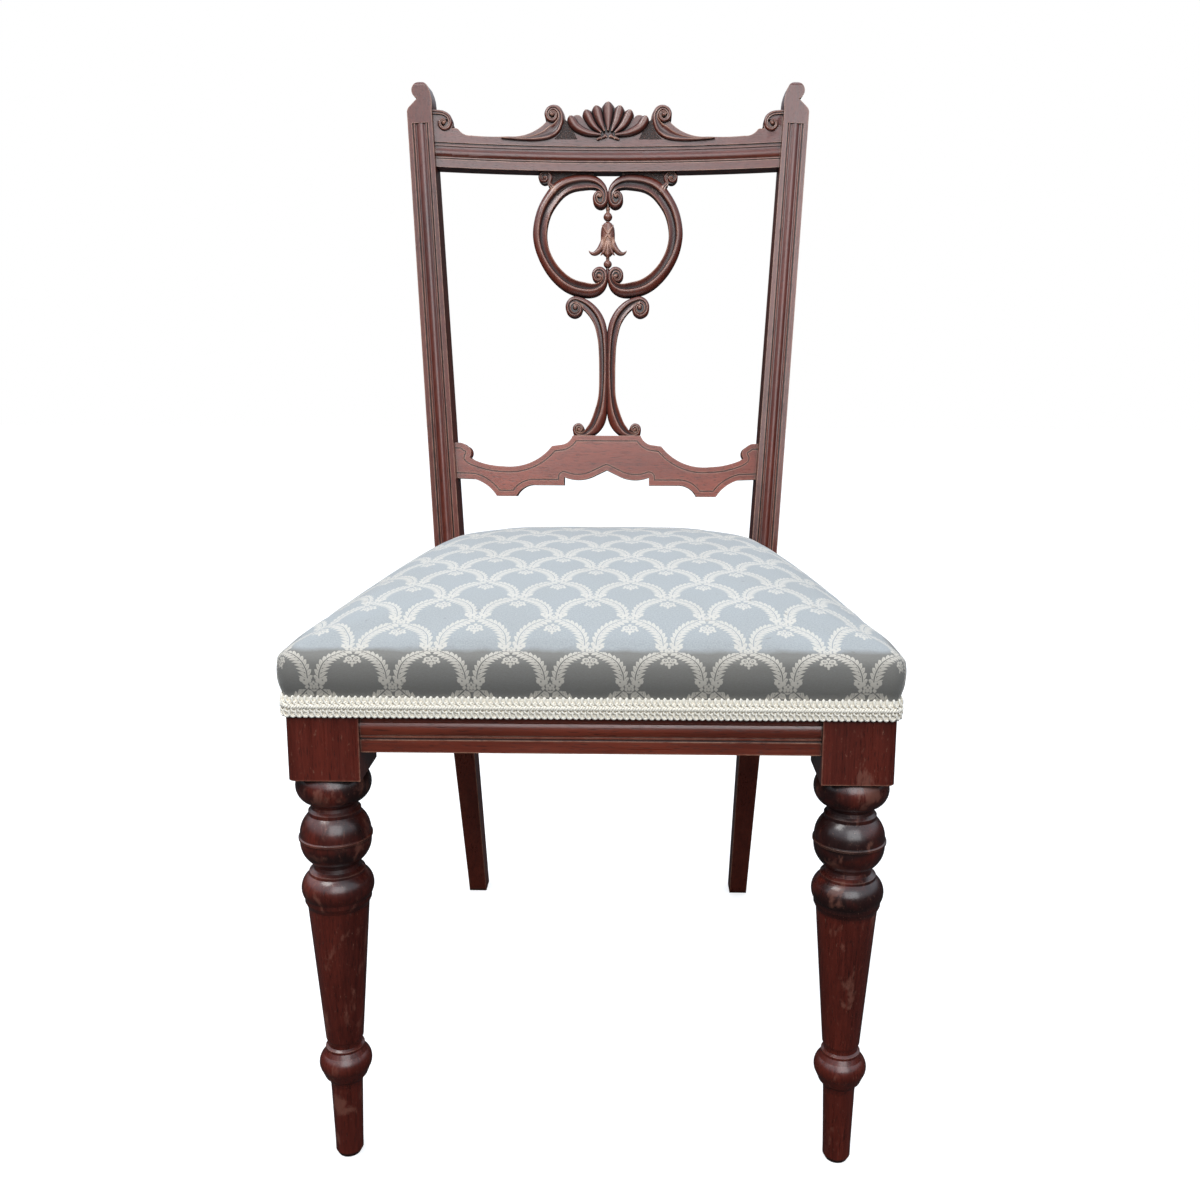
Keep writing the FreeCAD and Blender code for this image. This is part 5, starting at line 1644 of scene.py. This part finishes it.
@dataclass
class Woodwork:
    """The frame's wooden pieces and their finishes."""

    back: BackFace = field(default_factory=BackFace)
    # In the band, ribbon and lobe sections, each row is a place across as a share of the width, a depth as a share of
    # it, and the painted light there: a painted highlight above 0, mostly on the ridge, and painted shade below 0 in
    # the hollows.
    band: tuple = (
        (1.0, None, 0.0), (1.0, 0.62, -0.3), (0.88, 0.38, -0.1), (0.66, 0.18, 0.0), (0.36, 0.05, 0.1), (0.12, 0.0, 0.6),
        (0.0, 0.0, 1.0), (-0.05, 0.03, 0.6), (-0.15, 0.31, -0.9), (-0.30, 0.42, -0.9), (-0.52, 0.39, -0.4),
        (-0.78, 0.28, 0.1), (-0.92, 0.22, 0.8), (-1.0, 0.30, 0.3), (-1.0, None, 0.0))
    ribbon: tuple = (
        (1.0, None, -0.5), (1.0, 0.80, -0.7), (0.85, 0.44, -0.3), (0.50, 0.13, 0.1), (0.15, 0.0, 0.8), (0.0, 0.0, 1.0),
        (-0.06, 0.03, 0.5), (-0.20, 0.17, -0.9), (-0.42, 0.25, -0.6), (-0.68, 0.24, -0.2), (-0.88, 0.16, 0.1),
        (-1.0, 0.15, 0.7), (-1.0, None, 0.0))
    lobe: tuple = (
        (1.0, None, -0.8), (1.0, 0.85, -1.0), (0.92, 0.52, -0.9), (0.71, 0.25, -0.35), (0.38, 0.06, 0.1),
        (0.0, 0.0, 0.6), (-0.38, 0.06, 0.1), (-0.71, 0.25, -0.35), (-0.92, 0.52, -0.9), (-1.0, 0.85, -1.0),
        (-1.0, None, -0.8))
    ring_centre: tuple[float, float] = (15.0, 340.1)
    ring: tuple = (
        (80, 59.6, 7.6, 8.4), (66, 62.0, 7.8, 8.8), (54, 63.2, 7.8, 9.3), (42, 62.3, 7.0, 9.3), (28, 61.4, 6.4, 9.0),
        (14, 60.6, 6.1, 9.0), (0, 60.2, 6.1, 9.0), (-14, 59.4, 6.1, 8.6), (-28, 58.8, 6.2, 8.2),
        (-42, 59.0, 6.5, 8.2), (-56, 59.8, 6.8, 8.4), (-68, 60.2, 7.0, 8.6), (-80, 59.6, 7.2, 8.4))
    head_curl: tuple = (
        (9.0, 380.6, 0.9, 0.9), (7.4, 382.4, 1.4, 1.3), (8.4, 385.0, 1.7, 1.5), (11.2, 385.4, 1.9, 1.8),
        (13.6, 382.2, 2.3, 2.2), (13.8, 377.6, 2.5, 2.5), (11.4, 373.6, 2.9, 2.7), (7.2, 372.2, 3.0, 2.9),
        (3.6, 375.2, 2.9, 3.0), (2.4, 380.6, 2.4, 3.2), (3.0, 386.4, 2.9, 3.6), (6.8, 392.4, 4.4, 4.8),
        (14.6, 397.2, 6.4, 6.8))
    foot_curl: tuple = (
        (15.6, 281.4, 6.6, 7.0), (8.4, 284.4, 5.2, 5.4), (4.0, 289.2, 3.5, 4.2), (2.5, 294.6, 2.6, 3.4),
        (3.5, 300.0, 2.8, 3.1), (7.4, 303.4, 3.0, 2.9), (12.0, 302.6, 2.7, 2.6), (14.6, 298.8, 2.4, 2.4),
        (14.0, 294.2, 2.1, 2.0), (11.2, 291.8, 1.8, 1.7), (8.0, 292.8, 1.6, 1.4), (7.4, 295.8, 1.3, 1.2),
        (9.2, 297.4, 0.9, 0.9))
    foot_strand: tuple = (
        (29.8, 128.8, 0.9, 0.9), (27.4, 130.0, 1.3, 1.3), (27.2, 133.2, 1.7, 1.7), (30.2, 135.4, 2.0, 1.9),
        (33.8, 134.2, 2.1, 2.0), (35.2, 130.4, 2.2, 2.1), (33.6, 126.4, 2.3, 2.2), (29.6, 124.6, 2.6, 2.6),
        (24.6, 124.6, 3.6, 4.0), (19.0, 127.4, 5.4, 5.8), (13.6, 133.8, 7.4, 6.4), (9.6, 141.6, 8.0, 6.8),
        (6.6, 150.4, 6.8, 6.8), (4.8, 160.0, 5.0, 5.9), (3.6, 172.0, 3.8, 5.4), (2.7, 193.3, 2.8, 6.0),
        (2.9, 212.0, 3.0, 6.2), (3.6, 225.0, 3.8, 6.4), (5.0, 236.5, 5.0, 7.0), (8.2, 248.2, 5.2, 7.2),
        (14.2, 258.4, 5.0, 7.2), (23.0, 266.8, 4.2, 6.6))
    ear: tuple = (
        (230, 8.0), (180, 6.5), (135, 6.0), (90, 5.6), (45, 5.2), (0, 4.8), (-45, 4.2), (-90, 3.5), (-135, 2.8),
        (-180, 2.0), (-225, 1.4))
    head_eye: tuple[float, float] = (9.4, 382.2)
    foot_eye: tuple[float, float] = (9.6, 296.2)
    stem_volute: tuple[float, float] = (34.9, 262.4)
    ear_volute: tuple[float, float] = (68.6, 401.4)
    splat_front: float = 27.0
    splat_back: float = 40.0
    leg_looks: dict = field(default_factory=lambda: {
        "wear": 0.55, "scuffs": 1.0, "deep": (0.040, 0.0055, 0.0036), "warm": (0.165, 0.025, 0.014),
        "stained": (0.224, 0.3325)})
    rear_looks: dict = field(default_factory=lambda: {"wear": 0.75, "scuffs": 0.15})
    front_rail_looks: dict = field(default_factory=lambda: {
        "wear": 1.0, "deep": (0.075, 0.013, 0.008), "warm": (0.24, 0.046, 0.023)})
    lower_rail_looks: dict = field(default_factory=lambda: {
        "scuffs": 0.15, "deep": (0.105, 0.018, 0.009), "warm": (0.31, 0.060, 0.030)})

    def scrolls(self) -> None:
        """Carves the two C-scrolls and the ears above them."""
        front, back = self.splat_front, self.splat_back
        ring = volute(self.ring_centre, *self.ring)
        self.back.sweep([*self.head_curl, *ring, *self.foot_curl], self.band, front, back)
        curl = volute(self.ear_volute, *((*turn, 1.9, 1.7) for turn in self.ear))
        self.back.sweep(
            [(57.0, 386.0, 2.2, 2.4), (60.6, 392.4, 2.1, 2.2), *curl], self.band, front + 0.4, back - 0.3, 0.6)
        for (x, v), radius, eye in (
            ((9.0, 379.2), 6.6, 0.0), ((9.0, 296.8), 6.8, 0.0), (self.head_eye, 3.0, 2.3), (self.foot_eye, 3.0, 2.3),
            (self.ear_volute, 6.2, 2.0), (self.stem_volute, 8.4, 2.5),
        ):
            turns = np.linspace(0.0, math.tau, 29)[:-1]
            disc = [(x + radius * math.cos(turn), v + radius * math.sin(turn)) for turn in turns]
            # Each disc behind an eye or volute takes painted shade.
            self.back.slab(disc, front + 2.7, back - 0.15, painted_light=-0.85)
            if eye:
                self.back.bead(x, v, eye, front + eye - 0.5)

    def stem(self) -> None:
        """Carves the two strands of the splat's foot, with their curls."""
        self.back.sweep([
            *self.foot_strand,
            *volute(
                self.stem_volute, (100, 9.0, 3.4, 4.8), (70, 8.8, 3.1, 3.8), (40, 8.4, 2.9, 3.3), (5, 8.0, 2.7, 3.0),
                (-40, 8.2, 2.6, 2.8), (-85, 8.2, 2.5, 2.6), (-130, 7.0, 2.3, 2.3), (-175, 5.4, 2.0, 2.0),
                (-220, 4.4, 1.7, 1.7), (-265, 3.4, 1.4, 1.4), (-310, 2.2, 1.1, 1.1)),
        ], self.band, self.splat_front + 0.2, self.splat_back - 0.1)
        self.back.bead(30.4, 130.4, 2.0, self.splat_front + 1.5)
        self.back.rod([(30.4, 122.6, 5.0), (30.4, 126.0, 6.4), (30.4, 130.0, 6.6), (30.4, 134.4, 4.6)], 34.0, 5.8)

    def drop(self) -> None:
        """Carves the bellflower on its beaded stalk."""
        middle = 33.0
        self.back.rod([(0.0, 384.0, 1.9), (0.0, 360.0, 1.9), (0.0, 310.0, 1.9), (0.0, 290.0, 1.9)], middle, 2.2, False)
        for v, radius in ((360.2, 4.8), (368.6, 2.4), (309.6, 4.5)):
            self.back.bead(0.0, v, radius, middle - 0.6, False)
        self.back.rod([
            (0.0, 355.2, 0.6), (0.0, 353.6, 4.2), (0.0, 349.0, 6.8), (0.0, 343.0, 7.6), (0.0, 336.0, 7.7),
            (0.0, 330.0, 8.2), (0.0, 325.0, 7.8), (0.0, 320.0, 5.0), (0.0, 316.4, 0.8)], middle, 5.0, False)
        self.back.rod([
            (4.6, 338.0, 2.0), (6.0, 331.0, 3.2), (8.6, 325.4, 3.4), (12.6, 321.6, 2.9), (16.4, 320.8, 1.9),
            (19.2, 322.4, 1.0), (20.4, 324.2, 0.3)], middle - 1.0, 4.0)
        for leaf in (
            ((6.2, 351.0, 0.4), (2.6, 345.0, 1.5), (-1.6, 338.4, 1.6), (-3.8, 333.0, 0.5)),
            ((1.0, 334.0, 0.5), (2.4, 328.0, 1.5), (4.6, 322.0, 1.6), (7.6, 318.4, 0.5)),
        ):
            self.back.rod(leaf, middle - 4.2, 1.5)
        leaf = [(0.0, 334.0, 0.4), (0.0, 327.0, 1.5), (0.0, 320.0, 2.0), (0.0, 315.0, 0.4)]
        self.back.rod(leaf, middle - 4.2, 1.8, False)

    def splat(self) -> None:
        """Builds the pierced splat."""
        self.scrolls()
        self.stem()
        self.drop()
        self.back.slab([(34.2, 400.0), (57.8, 400.0), (57.8, 414.8), (34.2, 414.8)], 31.2, 35.9)
        self.back.slab([(18.2, 115.9), (33.8, 115.9), (33.8, 128.0), (18.2, 128.0)], 31.2, 35.9)
        finish = PolishedMahogany("splat_wood", Axis.UPRIGHT, 2.0, wear=0.75, edge=1.2 * MM)
        self.back.done("back_splat_carved", finish.material(), "back_splat")
        self.back.slab([
            (15.5, 407.2), (66.0, 407.2), (64.0, 398.0), (60.0, 391.0), (54.0, 382.0), (40.0, 391.0), (28.0, 396.0),
            (15.5, 398.0)], 30.6, 38.6)
        self.back.done("splat_ground", PunchedGround("splat_ground_wood").material())

    def shell(self) -> None:
        """Carves the crest's shell on its blank."""
        for lobe, tip in (
            (((0.0, 449.0), (0.0, 464.0), (0.0, 479.3)), 6.1),
            (((3.9, 448.4), (9.4, 461.0), (13.3, 475.2)), 5.6),
            (((7.4, 446.8), (17.0, 456.2), (24.4, 470.6)), 5.4),
            (((7.6, 444.4), (22.0, 447.0), (34.5, 453.4), (41.4, 464.0)), 5.4),
        ):
            line = flowing(lobe, 0.6)
            gone = np.concatenate([[0.0], np.cumsum(np.linalg.norm(np.diff(line, axis=0), axis=1))])
            neck = gone[-1] - tip
            width = np.where(
                gone < neck, 1.1 + (tip - 1.1) * np.sin(np.clip(gone / neck, 0.0, 1.0) * math.pi / 2),
                np.sqrt(np.maximum(tip ** 2 - np.maximum(gone - neck, 0.0) ** 2, 0.01)))
            middle = lobe[0][0] == 0.0
            stops = np.column_stack([line, width, width])
            self.back.sweep(stops, self.lobe, -4.2, 19.4, 0.7, True, not middle)
        for root in ((4.4, 443.2), (9.8, 441.4)):
            self.back.sweep(
                [(root[0] - 3.0, root[1] - 0.6, 1.0, 1.0), (root[0] - 1.2, root[1] + 1.6, 1.6, 1.6), (*root, 2.0, 2.0),
                 (root[0] + 2.4, root[1] - 1.2, 0.8, 0.8)], self.lobe, -1.6, 4.0, 0.6, True)

    def crest_scrolls(self) -> None:
        """Carves the crest's scrolls beside the shell and at the posts."""
        self.back.sweep([
            (114.0, 440.0, 0.5, 0.4), (98.0, 439.4, 1.2, 1.1), (84.0, 439.6, 1.8, 2.8), (72.0, 440.6, 2.1, 6.0),
            (62.0, 443.0, 2.2, 9.4), (54.6, 448.2, 2.3, 9.6), (51.0, 455.4, 2.4, 6.8), (50.0, 463.6, 2.5, 3.6),
            (52.4, 470.4, 2.6, 2.8), (57.6, 473.8, 2.6, 2.7), (63.2, 472.0, 2.5, 2.5), (66.0, 466.8, 2.3, 2.3),
            (64.2, 461.6, 2.1, 2.1), (59.4, 459.8, 1.9, 1.9), (55.8, 462.8, 1.7, 1.7), (55.8, 467.2, 1.5, 1.5),
            (59.2, 469.4, 1.3, 1.3), (62.0, 467.2, 1.0, 1.0), (60.8, 465.2, 0.7, 0.7),
        ], self.ribbon, -2.6, 19.3, 0.7, True)
        self.back.sweep([
            (173.6, 452.4, 0.7, 0.7), (172.8, 454.8, 1.0, 1.0), (175.4, 456.4, 1.3, 1.2), (178.4, 453.8, 1.6, 1.4),
            (178.0, 449.4, 1.8, 1.6), (174.0, 446.8, 1.9, 1.8), (169.4, 449.0, 2.0, 1.9), (167.6, 454.8, 2.0, 2.0),
            (169.6, 460.4, 2.1, 2.2), (175.2, 463.8, 2.1, 2.4), (183.0, 464.4, 2.0, 2.6), (187.0, 464.2, 1.8, 2.6),
        ], self.ribbon, -1.4, 12.0, 0.6, True)
        for x, v, radius in ((59.6, 466.0, 2.3), (174.6, 452.8, 1.9)):
            face = float(self.back.bowed(np.array(x)))
            self.back.bead(x, v, radius, face - 0.6)

    def crest(self) -> None:
        """Builds the crest on a copy of its blank, whose rough lobes are cut back."""
        made = piece("crest_rail_carved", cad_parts["crest_rail"].data.copy())
        with reworked(made.data) as form:
            bmesh.ops.remove_doubles(form, verts=form.verts, dist=SAME_PLACE)
        loose = made.data.attributes.get("custom_normal")
        if loose:
            made.data.attributes.remove(loose)
        local = self.back.local(positions(made.data))
        plate = self.back.bowed(local[:, 0]) + 0.9
        rough = (local[:, 1] > 434.0) & (np.abs(local[:, 0]) < 50.0) & (local[:, 2] < plate)
        local[rough, 2] = plate[rough]
        move_to(made.data, self.back.world(local))
        finish = PolishedMahogany("crest_wood", Axis.ACROSS, 1.0, wear=0.9, edge=1.4 * MM).material()
        stands_for(smooth(made, 35.0), finish, "mahogany", "crest_rail")
        self.shell()
        self.crest_scrolls()
        self.back.done("crest_carving", finish)
        self.back.slab([
            (33.0, 440.8), (58.0, 440.4), (52.0, 446.0), (48.4, 454.0), (47.4, 462.0), (43.0, 459.0),
            (38.0, 450.0)], 0.65, 6.0, True)
        self.back.done("crest_ground", PunchedGround("crest_ground_wood").material())

    def carved(self) -> None:
        """Builds the carved pieces."""
        self.crest()
        self.splat()

    def plain(self) -> None:
        """Dresses the pieces that keep their CAD forms."""
        for number, side in enumerate(("left", "right")):
            for node, axis, seed, looks in (
                ("front_leg", Axis.UPRIGHT, 4.0, self.leg_looks), ("rear_leg", Axis.UPRIGHT, 8.0, self.rear_looks),
                ("side_seat_rail", Axis.DEPTH, 12.0, {}),
            ):
                finish = PolishedMahogany(f"{node}_wood_{side}", axis, seed + number, **looks)
                dress(f"{node}_{side}", finish.material())
            for end in ("front", "rear"):
                dress(f"{end}_corner_block_{side}", PlainBeech(f"{end}_block_wood_{side}", Axis.ACROSS).material())
        for node, seed, looks in (
            ("front_seat_rail", 6.0, self.front_rail_looks), ("rear_seat_rail", 7.0, {}),
            ("lower_back_rail", 3.0, self.lower_rail_looks),
        ):
            dress(node, PolishedMahogany(f"{node}_wood", Axis.ACROSS, seed, **looks).material())
        for end, axis in (("front", Axis.ACROSS), ("side", Axis.DEPTH), ("rear", Axis.ACROSS)):
            dress(f"{end}_rail_dowels", PlainBeech(f"{end}_rail_dowels_wood", axis).material())
        dress("corner_block_screws", OldSteel("screw_steel", (0.42, 0.40, 0.37)).material())
        dress("webbing_tacks", OldSteel("tack_steel", (0.10, 0.10, 0.12)).material())


# Studio


@dataclass
class Studio:
    """A pale floor, soft light from above and the photograph's camera."""

    camera_at: tuple = (0.0355, -1.10815, 0.6557)
    yaw: float = -0.812
    pitch: float = 10.843
    roll: float = -0.19
    lens: float = 35.33
    shift: tuple = (-0.0184, -0.0203)
    floor_half: float = 9.0

    def camera(self) -> None:
        """Sets the camera at the photograph's place."""
        data = bpy.data.cameras.new("camera")
        data.sensor_width = 36.0
        data.lens = self.lens
        data.shift_x, data.shift_y = self.shift
        data.clip_start = 0.01
        yaw, pitch, roll = (math.radians(angle) for angle in (self.yaw, self.pitch, self.roll))
        ahead = Vector((math.sin(yaw) * math.cos(pitch), math.cos(yaw) * math.cos(pitch), -math.sin(pitch)))
        level = Vector((math.cos(yaw), -math.sin(yaw), 0.0))
        down = ahead.cross(level)
        right = level * math.cos(roll) + down * math.sin(roll)
        up = level * math.sin(roll) - down * math.cos(roll)
        turn = Matrix((right, up, -ahead)).transposed().to_4x4()
        made = bpy.data.objects.new("camera", data)
        made.matrix_world = Matrix.Translation(self.camera_at) @ turn
        bpy.context.scene.collection.objects.link(made)
        bpy.context.scene.camera = made

    def lamp(self, name: str, place: tuple, aim: tuple, size: float, power: float, tint: Colour) -> None:
        """Adds a square soft lamp.

        Args:
            name: its name.
            place: where it stands.
            aim: what it points at.
            size: its side.
            power: its watts.
            tint: its colour.
        """
        data = bpy.data.lights.new(name, "AREA")
        data.size = size
        data.energy = power
        data.color = tint
        made = bpy.data.objects.new(name, data)
        made.location = place
        made.rotation_euler = (Vector(aim) - Vector(place)).to_track_quat("-Z", "Y").to_euler()
        bpy.context.scene.collection.objects.link(made)

    def floor(self) -> None:
        """Adds the pale floor, which keeps the chair's shadow and hides nothing from below."""
        half = self.floor_half
        spots = [(-half, -half, 0.0), (half, -half, 0.0), (half, half, 0.0), (-half, half, 0.0)]
        made = mesh_of("floor", spots, [(0, 1, 2, 3)])
        paint = Paint("pale_floor")
        seen = paint.node("ShaderNodeLightPath").outputs["Is Camera Ray"]
        grey = paint.node("ShaderNodeBsdfDiffuse", {"Color": (0.03, 0.03, 0.03, 1.0)}).outputs[0]
        pale = paint.node("ShaderNodeBsdfDiffuse", {"Color": (0.55, 0.55, 0.55, 1.0)}).outputs[0]
        glow = paint.node("ShaderNodeEmission", {"Color": (1.0, 1.0, 1.0, 1.0), "Strength": 0.66}).outputs[0]
        lifted = paint.node("ShaderNodeAddShader", {0: pale, 1: glow}).outputs[0]
        top = paint.node("ShaderNodeMixShader", {0: seen, 1: grey, 2: lifted}).outputs[0]
        underside = paint.node("ShaderNodeNewGeometry").outputs["Backfacing"]
        clear = paint.node("ShaderNodeBsdfTransparent").outputs[0]
        whole = paint.node("ShaderNodeMixShader", {0: underside, 1: top, 2: clear}).outputs[0]
        paint.node("ShaderNodeOutputMaterial", {"Surface": whole})
        made.data.materials.append(paint.material)

    def world(self) -> None:
        """Adds the sky: white to the camera, brighter above than at the sides to everything else."""
        world = bpy.data.worlds.new("soft_sky")
        world.use_nodes = True
        world.node_tree.nodes.clear()
        tree = Tree(world.node_tree)
        place = tree.node("ShaderNodeTexCoord").outputs["Generated"]
        _, _, up = tree.split(place)
        share = up.step(0.30, 0.30)
        seen = tree.node("ShaderNodeLightPath").outputs["Is Camera Ray"]
        shades = {0: share, 6: (0.030, 0.029, 0.028, 1.0), 7: (0.92, 1.00, 1.12, 1.0)}
        sky = tree.node("ShaderNodeMix", shades, data_type="RGBA").outputs[2]
        colour = tree.node("ShaderNodeMix", {0: seen, 6: sky, 7: (1.0, 1.0, 1.0, 1.0)}, data_type="RGBA").outputs[2]
        light = tree.node("ShaderNodeBackground", {"Color": colour, "Strength": 1.0}).outputs[0]
        tree.node("ShaderNodeOutputWorld", {"Surface": light})
        bpy.context.scene.world = world

    def build(self) -> None:
        """Sets up camera, floor, lamps and sky."""
        self.camera()
        self.floor()
        self.world()
        self.lamp("key", (-0.95, -0.75, 2.1), (0.0, 0.1, 0.65), 0.8, 17.0, (1.0, 0.985, 0.96))
        self.lamp("overhead", (0.35, 0.45, 2.6), (0.0, 0.0, 0.45), 1.4, 11.0, (0.95, 0.98, 1.0))
        self.lamp("front", (0.5, -2.9, 2.15), (0.0, 0.15, 0.8), 2.4, 54.0, (0.98, 0.99, 1.0))
        bpy.context.scene.view_settings.view_transform = "Standard"


def main() -> None:
    """Builds the studio, the seat and the woodwork in order."""
    logging.basicConfig(level=logging.INFO, format="%(message)s")
    Studio().build()
    plan = SeatPlan()
    woodwork = Woodwork()
    woodwork.plain()
    woodwork.carved()
    Webbing(plan).build()
    Cushion(plan).build()
    Gimp(plan).build()


if __name__ == "__main__":
    main()
